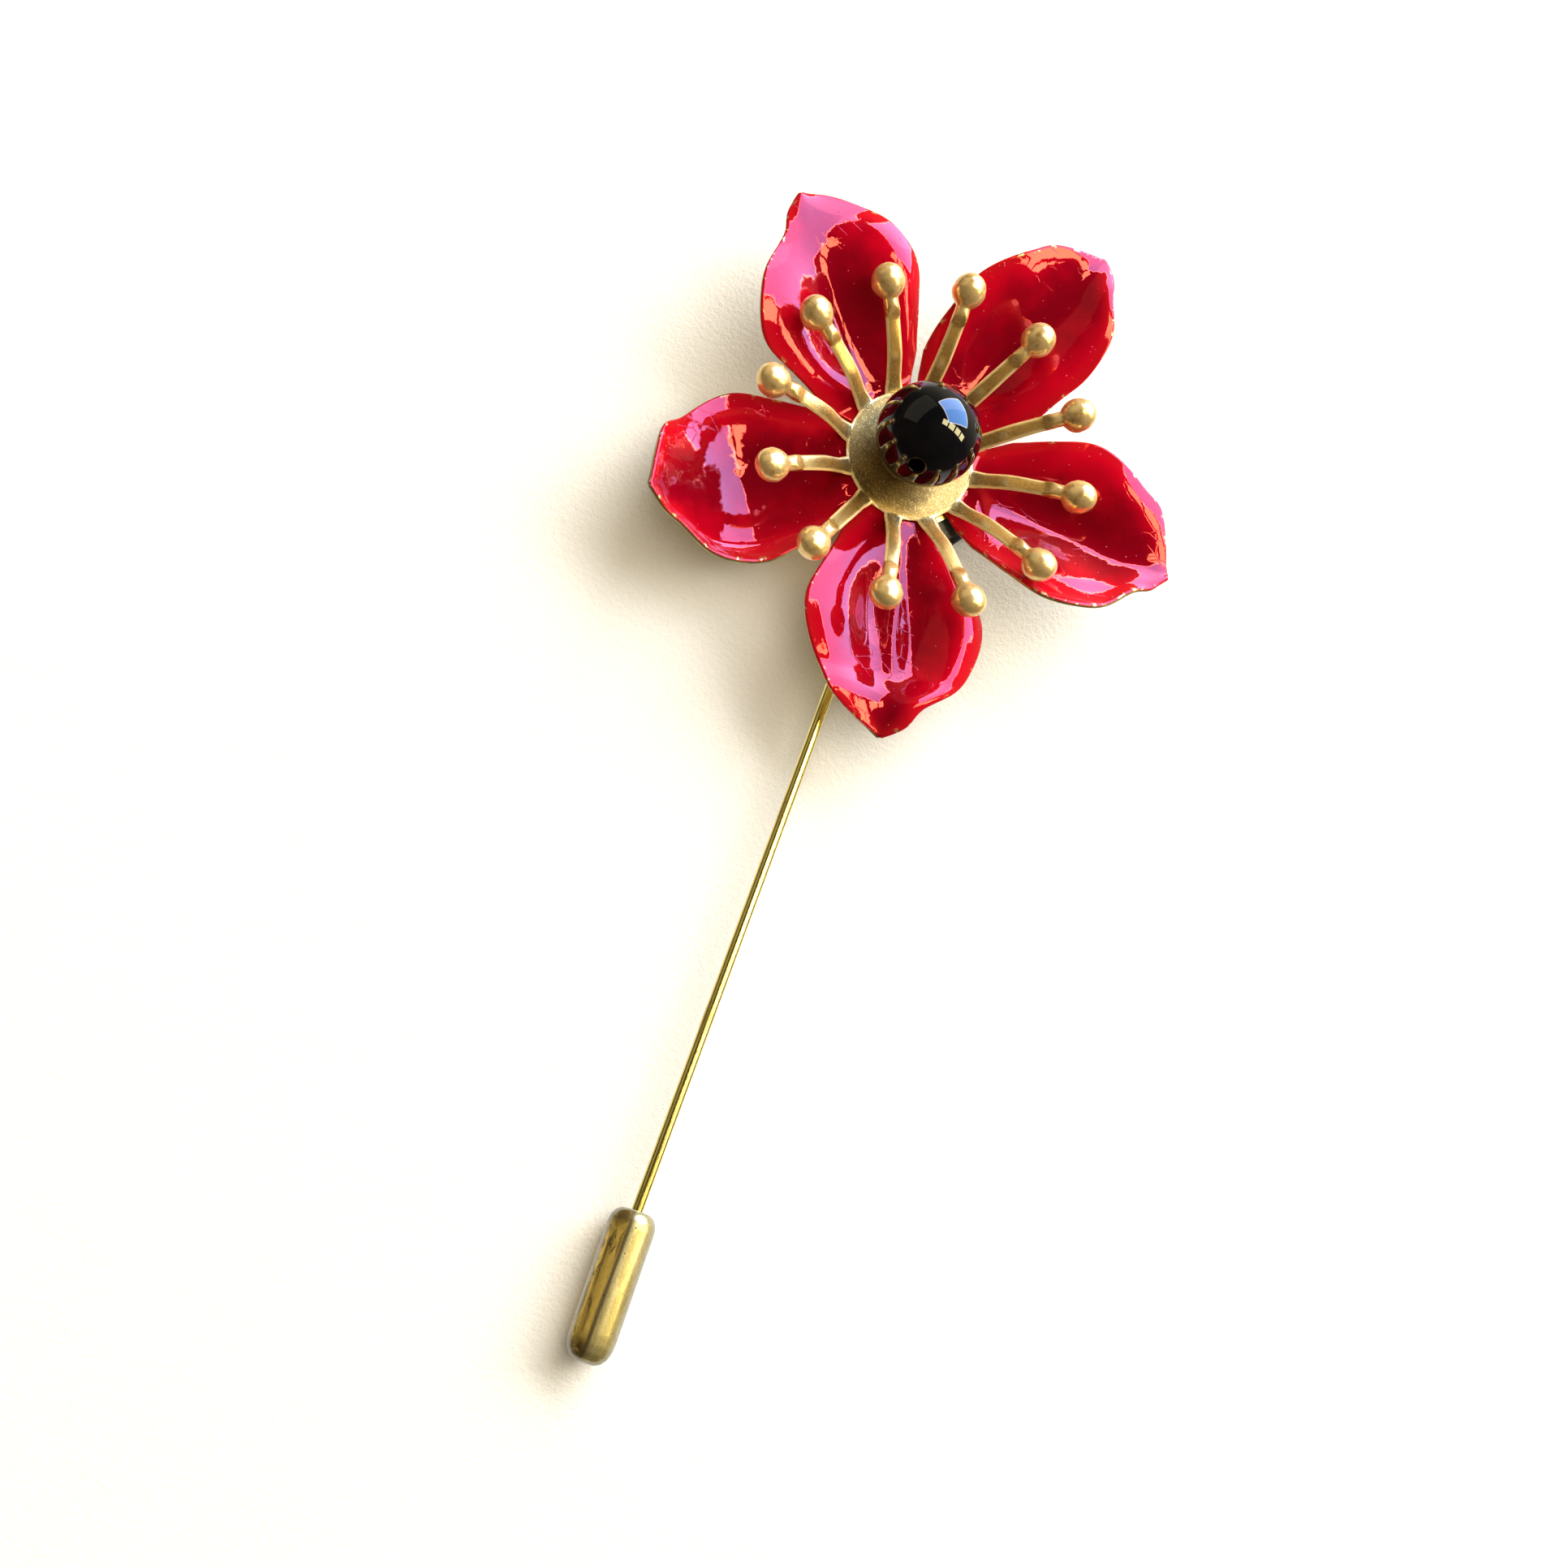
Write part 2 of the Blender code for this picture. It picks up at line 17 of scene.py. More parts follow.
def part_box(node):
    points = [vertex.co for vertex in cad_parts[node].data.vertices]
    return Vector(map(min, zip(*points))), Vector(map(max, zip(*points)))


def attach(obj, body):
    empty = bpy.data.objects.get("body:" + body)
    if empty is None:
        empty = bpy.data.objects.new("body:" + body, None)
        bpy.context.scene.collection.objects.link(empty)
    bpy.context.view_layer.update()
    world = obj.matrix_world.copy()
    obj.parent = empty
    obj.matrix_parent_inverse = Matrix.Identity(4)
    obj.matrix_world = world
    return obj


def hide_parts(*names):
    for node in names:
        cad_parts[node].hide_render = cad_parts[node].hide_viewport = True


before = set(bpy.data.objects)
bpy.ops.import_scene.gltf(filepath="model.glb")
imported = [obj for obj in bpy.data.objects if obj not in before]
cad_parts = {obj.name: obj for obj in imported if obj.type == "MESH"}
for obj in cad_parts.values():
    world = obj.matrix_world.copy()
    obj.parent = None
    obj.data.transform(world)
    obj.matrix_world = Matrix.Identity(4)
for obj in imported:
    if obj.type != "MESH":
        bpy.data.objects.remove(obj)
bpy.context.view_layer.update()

# Gap that separates two pieces in contact.
CONTACT_GAP = 0.00005

# Petals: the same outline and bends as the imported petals, which lie between pad and hub.
PETAL_COUNT = 5
PETAL_1_AZIMUTH = radians(141.0)
PETAL_THICKNESS = 0.00045
PETAL_START = 0.0012
PETAL_BOWL_START = 0.0063
NECK_END = 0.0080
NECK_GAP = 0.0007
# Half-width of the blade at distances from the flower's axis, before it is bent and stretched.
BLADE = ((0.0080, 0.00538), (0.0112, 0.0066), (0.0148, 0.0075), (0.0184, 0.0066),
         (0.0214, 0.0047), (0.0235, 0.00240), (0.0248, 0.00015))
BLADE_TIP = BLADE[-1][0]
WIDTH_FULL_AT = 0.014
TIP_SHIFT_START = 0.012
# Near the tip each side is drawn in (or out, if negative) by a share of its half-width.
HOLLOW_CENTRE = 0.0223
HOLLOW_SPREAD = 0.0016
# Shares of the blade's length, or of its half-width for the bowl's end and the brim's start.
BOWL_SKEW = 0.85
BOWL_FULLNESS = 1.2
BOWL_END = 0.85
BRIM_START = 0.68
TWIST_START, TWIST_FULL = 0.4, 0.8
# A low ripple from the stamping: its height, waves along (radians a metre) and across.
PETAL_RIPPLE = 0.00016
RIPPLE_ALONG = 560
RIPPLE_ACROSS = 2.6
RIPPLE_START, RIPPLE_FULL = 0.1, 0.4
PETAL_ROWS = 120
PETAL_COLUMNS = 81
# The rim is rounded over this width, and the square of its thickness falls by this share.
PETAL_EDGE_ROUND = 0.00022
PETAL_EDGE_THINNING = 0.9
# rise is the height of the middle line along the blade, as (share of the blade, height) points.
# The bowl is cup deep and ends at bowl_reach of the blade. A brim is how far that side's outer
# rim curls up, or down where it is below 0. twist is the outer blade's slope toward its left.
PetalForm = namedtuple("PetalForm", "turn length width cup bowl_reach tip_shift left_hollow "
                       "right_hollow left_brim right_brim twist wave rise")
PETAL_FORMS = (
    PetalForm(radians(0.0), 0.0241, 1.10, 0.0020, 0.80, -0.0017, 0.30, 0.05, 0.0, -0.0009, 0.12,
              0.4, ((0.0, 0.0), (0.3, 0.0010), (0.55, 0.0028), (0.72, 0.0037), (1.0, 0.0036))),
    PetalForm(radians(0.6), 0.0252, 0.88, 0.0018, 1.0, -0.0010, -0.13, 0.22, 0.0003, 0.0, 0.0,
              1.9, ((0.0, 0.0), (0.3, 0.0010), (0.7, 0.0036), (0.88, 0.0044), (1.0, 0.0042))),
    PetalForm(radians(1.0), 0.0248, 1.04, 0.0022, 1.0, -0.0005, -0.23, 0.27, 0.0, 0.0012, -0.06,
              3.1, ((0.0, 0.0), (0.3, 0.0005), (0.6, 0.0021), (0.85, 0.0032), (1.0, 0.0034))),
    PetalForm(radians(-2.2), 0.0257, 1.09, 0.0020, 1.0, -0.0001, 0.30, -0.13, -0.0012, 0.0, 0.0,
              4.4, ((0.0, 0.0), (0.4, 0.0003), (0.7, 0.0014), (0.84, 0.0026), (1.0, 0.0022))),
    PetalForm(radians(-1.2), 0.0247, 1.02, 0.0003, 1.0, 0.0009, 0.18, -0.27, 0.0012, -0.0002, 0.0,
              5.6, ((0.0, 0.0), (0.45, -0.0010), (0.65, -0.0002), (0.88, 0.0024), (1.0, 0.0042))),
)
# A dent (height below 0) or a ridge, as a long mound on the petal. x runs outward from the
# flower's axis and y to the petal's left; turn is the angle from x to the mound's long axis.
Mound = namedtuple("Mound", "x y long wide turn height")
PETAL_MOUNDS = (
    (Mound(0.0145, -0.0005, 0.0045, 0.0026, 0.1, -0.0006),),
    (Mound(0.0150, 0.0005, 0.0050, 0.0030, 0.0, -0.0004),
     Mound(0.0180, 0.0030, 0.0020, 0.0012, 0.5, 0.0002)),
    (Mound(0.0155, 0.0000, 0.0050, 0.0034, 0.0, -0.0004),),
    (Mound(0.0150, 0.0003, 0.0060, 0.0010, 0.03, 0.0005),
     Mound(0.0146, -0.0022, 0.0032, 0.0012, 0.0, -0.0004),
     Mound(0.0165, 0.0030, 0.0045, 0.0022, 0.0, -0.0004)),
    (Mound(0.0140, 0.0005, 0.0030, 0.0026, 0.2, -0.0001),
     Mound(0.0142, -0.0012, 0.0006, 0.0005, 0.0, -0.0001),
     Mound(0.0152, -0.0002, 0.0006, 0.0005, 0.0, -0.0001)),
)

# Stamens: a hub with twelve strips, each of which rises to a knee and ends in a ball.
STAMEN_COUNT = 12
STAMEN_FIRST_AZIMUTH = radians(4.6)
HUB_RADIUS = 0.0058
HUB_HOLE_RADIUS = 0.00085
HUB_HALF_THICKNESS = 0.0002
STRIP_HALF_WIDTH = 0.00070
STRIP_HALF_THICKNESS = 0.00018
# A strip is wider by a share of its width at its root, and narrows by a share beyond its bow.
ROOT_LENGTH = 0.0012
ROOT_WIDENING = 0.2
ROOT_FILLET = 0.00007
ROOT_BLEND = 0.0008
TAPER_START, TAPER_END = 0.0085, 0.0110
TAPER = 0.06
COLLAR_START = 0.0112
COLLAR_LENGTH = 0.0012
COLLAR_FLATNESS = 0.96
BALL_CENTRE_RADIUS = 0.0143
BALL_RADIUS = 0.00146
# Height of a stamen's middle line above the hub, as (distance from the axis, height) points.
STAMEN_RISE = ((0.0048, 0.0), (0.0059, 0.0001), (0.0068, 0.0007), (0.0086, 0.0023),
               (0.0116, 0.0039), (0.0124, 0.0042), (0.0143, 0.0047), (0.0162, 0.0051))
# Sections are superellipses, from this power on the flat strip to 2 at the round collar.
FLAT_SQUARENESS = 8.0
BEVEL_WIDTH = 0.00032
BEVEL_DROP = 0.75
# How worn bright the balls and collars are, with a painted highlight, where the strips' bevelled
# edges are 1.
BALL_WEAR_AND_SHEEN = 0.33
REACH_FULL_AT = 0.0085
SECTION_POINTS = 48
HUB_RINGS = 18

BEAD_RADIUS = 0.0045
BEAD_HOLE_RADIUS = 0.00070
BEAD_LIP_WIDTH = 0.00012
BEAD_LIP_DEPTH = 0.00010
BEAD_LIP_BEVEL = (0.00003, 0.00002)
BEAD_HOLE_DIRECTION = Vector((-0.11, -0.89, 0.44)).normalized()

# The pin's root ends in a flat of a share of its radius, inside a bevel.
PIN_RADIUS = 0.00046
PIN_ROOT_BEVEL = 0.0001
PIN_ROOT_FLAT = 0.9
PIN_POINT_LENGTH = 0.0045
PIN_POINT_FULLNESS = 0.72

CLUTCH_RADIUS = 0.00195
CLUTCH_LENGTH = 0.0125
CLUTCH_WALL = 0.0004
CLUTCH_MOUTH_HOLE_RADIUS = 0.00085
CLUTCH_MOUTH_Y = -0.0687
CLUTCH_SKEW = radians(1.0)
CLUTCH_END_Y = CLUTCH_MOUTH_Y - CLUTCH_LENGTH
# The cap's domed end and its rolled mouth, as (share of the radius, distance from that end).
CLUTCH_DOME = ((0.42, 0.00004), (0.68, 0.00032), (0.88, 0.00085), (0.97, 0.0015), (1, 0.0024))
CLUTCH_ROLL = ((1, 0.0014), (0.97, 0.0008), (0.84, 0.0003), (0.64, 0))
CLUTCH_CORNER_ROUND = 0.0002
CLUTCH_INNER_ROLL = 0.0010
CLUTCH_INNER_DOME = 0.0003
# Where painted shade and reflection show on the cap: its darker left side, and a painted dark
# reflection line along it.
CLUTCH_SHADED_LEFT_X = -0.0019
CLUTCH_DARK_REFLECTION_X = -0.0005

BACKING_RADIUS = 0.0077
BACKING_EDGE_ROUND = 0.00028

# Lights stand at one distance from the flower. place is (azimuth, elevation, roll) in degrees,
# and sizes and shifts are shares of that distance.
LIGHT_DISTANCE = 0.7
Panel = namedtuple("Panel", "place size colour radiance")
DAYLIGHT = Panel((58, 28, 0), (1.48, 0.81), (1.0, 0.97, 0.88), 9.0)
CEILING = Panel((0, 90, 0), (1.2, 1.2), (1.0, 0.86, 0.62), 1.7)
WALL = Panel((148, 34, 0), (1.15, 0.70), (1.0, 0.92, 0.66), 0.35)
WINDOW_PLACE = (63.5, 35.5, -30)
WINDOW_SIZE = (0.90, 0.88)
WINDOW_DROP = -0.02
WINDOW_DEEP = Panel(WINDOW_PLACE, (0.50, WINDOW_SIZE[1]), (0.18, 0.42, 1.0), 16.0)
WINDOW_PALE = Panel(WINDOW_PLACE, (0.40, WINDOW_SIZE[1]), (0.27, 0.46, 1.0), 18.0)
FRAME_WIDTH = 0.025
FRAME_UPRIGHT = Panel(WINDOW_PLACE, (FRAME_WIDTH, WINDOW_SIZE[1]), (1.0, 0.93, 0.86), 20.0)
FRAME_BAR = FRAME_UPRIGHT._replace(size=(WINDOW_SIZE[0], FRAME_WIDTH))
SILL_PANE = Panel((22, 57, 64), (0.23, 0.22), (1.0, 0.87, 0.44), 19.0)
SILL_PANES = 4
SILL_PANE_STEP = 0.29
SILL_SHIFT = -0.09

# Colours of the materials, linear.
ENAMEL_RED, ENAMEL_POOLED = (0.52, 0.0010, 0.014), (0.22, 0.0004, 0.008)
ENAMEL_THIN = (0.44, 0.008, 0.010)
ENAMEL_GLINT = (1.0, 0.155, 0.165)
ENAMEL_SPECK, ENAMEL_PIT = (0.70, 0.22, 0.24), (0.05, 0.0, 0.001)
CHIPPED_BRASS = (0.62, 0.42, 0.16)
# The hub's brass is darker than the strips', partly tarnish and partly painted shade under the
# bead.
HUB_BRASS_AND_SHADE = ((0.31, 0.19, 0.052), (0.165, 0.10, 0.028))
ARM_BRASS = ((0.86, 0.48, 0.125), (0.62, 0.34, 0.075))
BRASS_DARK_GRAIN, BRASS_LIGHT_GRAIN = (0.14, 0.09, 0.02), (0.92, 0.70, 0.28)
# Pale cream for worn brass edges and balls, which is also a painted highlight.
BRASS_RUBBED_AND_SHEEN = (1.0, 0.76, 0.36)
# The cap's pale tones and its gold are painted reflection of its lit right and shaded left sides.
CAP_PALE_LIT_SIDE = ((0.68, 0.57, 0.28), (0.50, 0.40, 0.15))
CAP_GOLD_SHADED_SIDE, CAP_GRAIN = (0.80, 0.55, 0.12), (0.24, 0.17, 0.05)
# Dark brown for tarnish, painted shade and a painted dark reflection line; grey for a painted
# reflection at the sides.
CAP_TARNISH_SHADE_AND_LINE, CAP_GREY_REFLECTION = (0.075, 0.042, 0.012), (0.36, 0.34, 0.27)
GLASS_BLACK = ((0.002, 0.002, 0.003), (0.006, 0.005, 0.006))
CARD_PALE = ((0.90, 0.89, 0.87), (0.93, 0.925, 0.91))

# The room round the lights brightens toward its glow, and the table shows below TABLE_START.
GLOW_AZIMUTH, GLOW_ELEVATION = radians(63), radians(-5)
ROOM_DIM, ROOM_MIDDLE, ROOM_GLOW = (0.050, 0.044, 0.036), (0.34, 0.30, 0.21), (0.70, 0.64, 0.50)
TABLE_COLOUR = (1.0, 0.95, 0.84)
TABLE_START, TABLE_FULL = -0.18, -0.40
FLOOR_HALF_SIZE = 2.0

# The photograph's view. The turn is an axis whose length is the angle in radians.
CAMERA_PLACE = (-0.042763, -0.087180, 0.200025)
CAMERA_TURN = Vector((0.229507, -0.252998, 0.379858))
CAMERA_LENS, CAMERA_SENSOR = 57.39, 36


def smooth_step(low, high, value):
    t = min(max((value - low) / (high - low), 0.0), 1.0)
    return t * t * (3 - 2 * t)


def smooth_curve(points, x):
    """Catmull-Rom curve through (x, y) points whose x rises, read at x."""
    last = len(points) - 2
    k = max(i for i in range(last + 1) if x >= points[i][0] or i == 0)
    (x1, y1), (x2, y2) = points[k], points[k + 1]
    before = points[max(k - 1, 0)]
    after = points[min(k + 2, last + 1)]
    slope1 = (y2 - before[1]) / (x2 - before[0])
    slope2 = (after[1] - y1) / (after[0] - x1)
    span = x2 - x1
    t = (x - x1) / span
    bend1 = (t ** 3 - 2 * t ** 2 + t) * slope1 * span
    bend2 = (t ** 3 - t ** 2) * slope2 * span
    return (2 * t ** 3 - 3 * t ** 2 + 1) * y1 + (3 * t ** 2 - 2 * t ** 3) * y2 + bend1 + bend2


# Node helpers

def new_material(name, **sockets):
    """A material with one Principled shader, whose named sockets are set directly."""
    made = bpy.data.materials.new(name)
    made.use_nodes = True
    shader = made.node_tree.nodes["Principled BSDF"]
    for socket, value in sockets.items():
        shader.inputs[socket.replace("_", " ")].default_value = value
    return made


class Nodes:
    """Short calls for adding and joining a node tree's nodes. Noise scales are per millimetre."""

    def __init__(self, tree):
        self.tree = tree

    def add(self, kind, inputs=None, **settings):
        made = self.tree.nodes.new("ShaderNode" + kind)
        for name, value in settings.items():
            setattr(made, name, value)
        for name, value in (inputs or {}).items():
            if isinstance(value, bpy.types.NodeSocket):
                self.tree.links.new(value, made.inputs[name])
            else:
                made.inputs[name].default_value = value
        return made

    def link(self, source, shader_input):
        self.tree.links.new(source, shader_input)

    def position(self, scale=(1, 1, 1)):
        """The piece's own coordinates in millimetres, stretched by scale."""
        coordinates = self.add("TexCoord").outputs["Object"]
        mapping = self.add("Mapping", {"Vector": coordinates})
        mapping.inputs["Scale"].default_value = [1000 * s for s in scale]
        return mapping.outputs["Vector"]

    def noise(self, where, scale, detail=3.0, roughness=0.55, distortion=0.0):
        inputs = {"Vector": where, "Scale": scale, "Detail": detail, "Roughness": roughness}
        inputs["Distortion"] = distortion
        return self.add("TexNoise", inputs).outputs["Fac"]

    def voronoi(self, where, scale, feature="F1", randomness=1.0):
        inputs = {"Vector": where, "Scale": scale, "Randomness": randomness}
        return self.add("TexVoronoi", inputs, feature=feature).outputs["Distance"]

    def attribute(self, name):
        return self.add("Attribute", attribute_name=name).outputs["Fac"]

    def band(self, value, low, high, to_low=0.0, to_high=1.0):
        """Maps low..high smoothly to to_low..to_high, and holds beyond."""
        inputs = {"Value": value, "From Min": low, "From Max": high}
        inputs.update({"To Min": to_low, "To Max": to_high})
        made = self.add("MapRange", inputs, interpolation_type="SMOOTHSTEP")
        return made.outputs["Result"]

    def math(self, operation, first, second=0.0):
        made = self.add("Math", operation=operation)
        for socket, value in zip(made.inputs, (first, second)):
            if isinstance(value, bpy.types.NodeSocket):
                self.tree.links.new(value, socket)
            else:
                socket.default_value = value
        return made.outputs["Value"]

    def mix(self, share, first, second):
        """First colour where share is 0, second where it is 1."""
        made = self.add("Mix", data_type="RGBA")
        for socket, value in ((made.inputs[0], share), (made.inputs[6], first),
                              (made.inputs[7], second)):
            if isinstance(value, bpy.types.NodeSocket):
                self.tree.links.new(value, socket)
            elif isinstance(value, tuple):
                socket.default_value = (*value, 1.0)
            else:
                socket.default_value = value
        return made.outputs[2]

    def bump(self, height, depth_mm, normal=None):
        inputs = {"Height": height, "Strength": 1.0, "Distance": depth_mm / 1000}
        if normal is not None:
            inputs["Normal"] = normal
        return self.add("Bump", inputs).outputs["Normal"]


def principled(made):
    return made.node_tree.nodes["Principled BSDF"]


# Materials

def red_enamel():
    """Glossy red enamel: darker where it pools, redder at the rims, crackled and chipped."""
    made = new_material("red_enamel_gloss", IOR=1.95, Specular_Tint=(*ENAMEL_GLINT, 1.0))
    n = Nodes(made.node_tree)
    shader = principled(made)
    where = n.position()
    depth = n.attribute("depth")
    edge = n.attribute("edge")
    cloud = n.noise(where, 0.35, 4.0)
    pooled = n.math("ADD", depth, n.math("MULTIPLY", n.math("SUBTRACT", cloud, 0.5), 0.9))
    colour = n.mix(n.band(pooled, 0.15, 0.9), ENAMEL_RED, ENAMEL_POOLED)
    colour = n.mix(n.band(edge, 1.4, 0.1, 0.0, 0.55), colour, ENAMEL_THIN)
    specks = n.band(n.voronoi(where, 1.1), 0.075, 0.045)
    colour = n.mix(n.math("MULTIPLY", specks, 0.55), colour, ENAMEL_SPECK)
    pits = n.band(n.voronoi(n.position((1.0, 1.0, 0.6)), 0.75), 0.060, 0.035)
    colour = n.mix(n.math("MULTIPLY", pits, 0.8), colour, ENAMEL_PIT)
    # Chips are patches of noise within 0.4 mm of the rim, where the brass shows.
    rim_noise = n.band(n.noise(where, 1.3), 0.59, 0.65)
    chipped = n.math("MULTIPLY", n.band(edge, 0.40, 0.10), rim_noise)
    colour = n.mix(chipped, colour, CHIPPED_BRASS)
    n.link(colour, shader.inputs["Base Color"])
    n.link(n.band(chipped, 0.0, 1.0), shader.inputs["Metallic"])
    n.link(n.band(chipped, 0.0, 1.0, 0.02, 0.4), shader.inputs["Roughness"])
    # The crackle's cells have fine cracks between them, and some of the surface has none.
    cells = n.voronoi(n.position((1.0, 1.6, 1.0)), 0.50, "DISTANCE_TO_EDGE")
    crackle = n.band(cells, 0.0, 0.035)
    whole = n.band(n.noise(where, 0.20, 2.0), 0.50, 0.60, 1.0, 0.0)
    crackle = n.math("MAXIMUM", whole, crackle)
    normal = n.bump(n.noise(where, 0.45, 2.0), 0.035)
    normal = n.bump(n.noise(where, 2.2, 3.0), 0.004, normal)
    normal = n.bump(crackle, 0.005, normal)
    normal = n.bump(specks, 0.012, normal)
    normal = n.bump(pits, -0.015, normal)
    n.link(normal, shader.inputs["Normal"])
    return made


def metal(name, bright, dull, roughness, grain_mm, spots, stretch=(1, 1, 1)):
    """Satin metal whose dull tarnish gathers in clouds, with fine grain and dark spots."""
    made = new_material(name, Metallic=1.0)
    n = Nodes(made.node_tree)
    shader = principled(made)
    where = n.position(stretch)
    cloud = n.noise(where, 0.5, 5.0, 0.6)
    tarnish = n.band(cloud, 0.42, 0.72)
    colour = n.mix(tarnish, bright, dull)
    spotted = n.band(n.noise(where, 1.7, 4.0, 0.7, 0.4), 0.66 - spots, 0.70)
    colour = n.mix(spotted, colour, tuple(0.28 * c for c in dull))
    n.link(colour, shader.inputs["Base Color"])
    rough = n.math("ADD", n.math("MULTIPLY", tarnish, 0.14), roughness)
    rough = n.math("ADD", rough, n.math("MULTIPLY", n.noise(n.position(), 9.0), 0.06))
    n.link(rough, shader.inputs["Roughness"])
    normal = n.bump(n.noise(n.position(), 7.0, 2.0), grain_mm)
    n.link(normal, shader.inputs["Normal"])
    return made


def stamen_metal():
    """Olive satin brass speckled like sand; edges and balls worn bright, plus painted highlight.
    """
    made = new_material("stamen_brass", Specular_IOR_Level=0.2)
    n = Nodes(made.node_tree)
    shader = principled(made)
    where = n.position()
    cloud = n.band(n.noise(where, 0.35, 4.0, 0.6), 0.40, 0.68)
    reach = n.attribute("reach")
    # The hub under the bead is darker than the strips: partly painted shade.
    colour = n.mix(reach, n.mix(cloud, *HUB_BRASS_AND_SHADE), n.mix(cloud, *ARM_BRASS))
    grain = n.noise(where, 8.0, 2.0, 0.7)
    colour = n.mix(n.band(grain, 0.50, 0.72, 0.0, 0.65), colour, BRASS_DARK_GRAIN)
    colour = n.mix(n.band(grain, 0.46, 0.30, 0.0, 0.60), colour, BRASS_LIGHT_GRAIN)
    patchy = n.band(n.noise(where, 1.2, 3.0), 0.30, 0.50, 0.55, 1.0)
    # Worn cream brass that is also a painted highlight, on bevelled edges, collars and balls.
    rubbed_and_sheen = n.band(n.math("MULTIPLY", n.attribute("wear_and_sheen"), patchy), 0.05, 0.55)
    colour = n.mix(rubbed_and_sheen, colour, BRASS_RUBBED_AND_SHEEN)
    n.link(colour, shader.inputs["Base Color"])
    rough = n.band(reach, 0.0, 1.0, 0.38, 0.27)
    rough = n.math("SUBTRACT", rough, n.math("MULTIPLY", rubbed_and_sheen, 0.08))
    n.link(rough, shader.inputs["Roughness"])
    metallic = n.band(reach, 0.0, 1.0, 0.62, 0.76)
    metallic = n.math("SUBTRACT", metallic, n.math("MULTIPLY", rubbed_and_sheen, 0.28))
    n.link(metallic, shader.inputs["Metallic"])
    normal = n.bump(n.noise(where, 1.1, 3.0), 0.006)
    normal = n.bump(grain, 0.007, normal)
    n.link(normal, shader.inputs["Normal"])
    return made


def clutch_metal():
    """Gold plate with painted reflection: pale on the right, deeper gold on the left of a painted
    dark line along the cap.

    Brown tarnish is drawn out along the cap and gathers at both ends; on the left side it is
    partly painted shade. The sides turned from view are painted grey, a painted reflection.
    """
    made = new_material("cap_tarnished_gold_painted_light", Metallic=0.62, Specular_IOR_Level=0.3)
    n = Nodes(made.node_tree)
    shader = principled(made)
    drawn = n.position((1.0, 0.16, 1.0))
    where = n.position()
    place = n.add("SeparateXYZ", {"Vector": n.add("TexCoord").outputs["Object"]}).outputs
    wander = n.math("MULTIPLY", n.math("SUBTRACT", n.noise(drawn, 0.8, 2.0), 0.5), 0.0004)
    across = n.math("ADD", place["X"], wander)
    # The pale right side and the deeper gold left side are painted reflection, parted at a line.
    pale = n.mix(n.band(n.noise(drawn, 0.9, 4.0), 0.40, 0.62), *CAP_PALE_LIT_SIDE)
    shaded_side_share = n.band(across, CLUTCH_DARK_REFLECTION_X, CLUTCH_DARK_REFLECTION_X - 0.0002)
    colour = n.mix(shaded_side_share, pale, CAP_GOLD_SHADED_SIDE)
    grain = n.band(n.noise(where, 6.0, 2.0, 0.7), 0.48, 0.68, 0.0, 0.45)
    colour = n.mix(grain, colour, CAP_GRAIN)
    # Tarnish streaks gather on the left side, partly painted shade.
    left = n.band(across, CLUTCH_DARK_REFLECTION_X, CLUTCH_DARK_REFLECTION_X - 0.0004)
    streak_shade_and_line = n.band(n.noise(drawn, 1.8, 5.0, 0.7, 0.6), 0.47, 0.58)
    streak_shade_and_line = n.math("MULTIPLY", streak_shade_and_line, n.math("ADD", n.math("MULTIPLY", left, 0.72), 0.12))
    # A painted dark reflection line along the cap.
    off_reflection_line = n.math("ABSOLUTE", n.math("SUBTRACT", across, CLUTCH_DARK_REFLECTION_X))
    streak_shade_and_line = n.math("MAXIMUM", streak_shade_and_line, n.band(off_reflection_line, 0.00024, 0.00010, 0.0, 0.85))
    # Brown at both ends of the left side: tarnish, partly painted shade.
    ends = n.math("ADD", n.band(place["Y"], CLUTCH_END_Y + 0.0026, CLUTCH_END_Y + 0.0010),
                  n.band(place["Y"], CLUTCH_MOUTH_Y - 0.0022, CLUTCH_MOUTH_Y - 0.0008))
    ends = n.math("MULTIPLY", ends, n.band(place["X"], CLUTCH_SHADED_LEFT_X + 0.0024,
                                           CLUTCH_SHADED_LEFT_X + 0.0010))
    ends = n.math("MULTIPLY", ends, n.band(n.noise(where, 1.0, 4.0), 0.34, 0.48, 0.45, 1.0))
    # Tarnish, painted shade and the painted dark line darken the cap.
    tarnish = n.math("MAXIMUM", streak_shade_and_line, n.math("MULTIPLY", ends, 0.9))
    spots = n.band(n.voronoi(where, 1.6), 0.16, 0.10)
    spots = n.math("MULTIPLY", spots, n.band(n.noise(where, 0.6), 0.46, 0.56))
    tarnish = n.math("MAXIMUM", tarnish, spots)
    colour = n.mix(tarnish, colour, CAP_TARNISH_SHADE_AND_LINE)
    # Grey where the sides turn from view: a painted reflection.
    facing = n.add("LayerWeight", {"Blend": 0.5}).outputs["Facing"]
    ragged_rim_reflection = n.math("ADD", facing, n.math("MULTIPLY", n.noise(where, 1.4, 4.0), 0.16))
    colour = n.mix(n.band(ragged_rim_reflection, 0.50, 0.64, 0.0, 0.9), colour, CAP_GREY_REFLECTION)
    n.link(colour, shader.inputs["Base Color"])
    n.link(n.band(tarnish, 0.0, 1.0, 0.27, 0.42), shader.inputs["Roughness"])
    normal = n.bump(n.noise(drawn, 3.0, 3.0), 0.010)
    normal = n.bump(n.noise(where, 5.0, 3.0, 0.7), 0.006, normal)
    normal = n.bump(spots, -0.006, normal)
    n.link(normal, shader.inputs["Normal"])
    return made


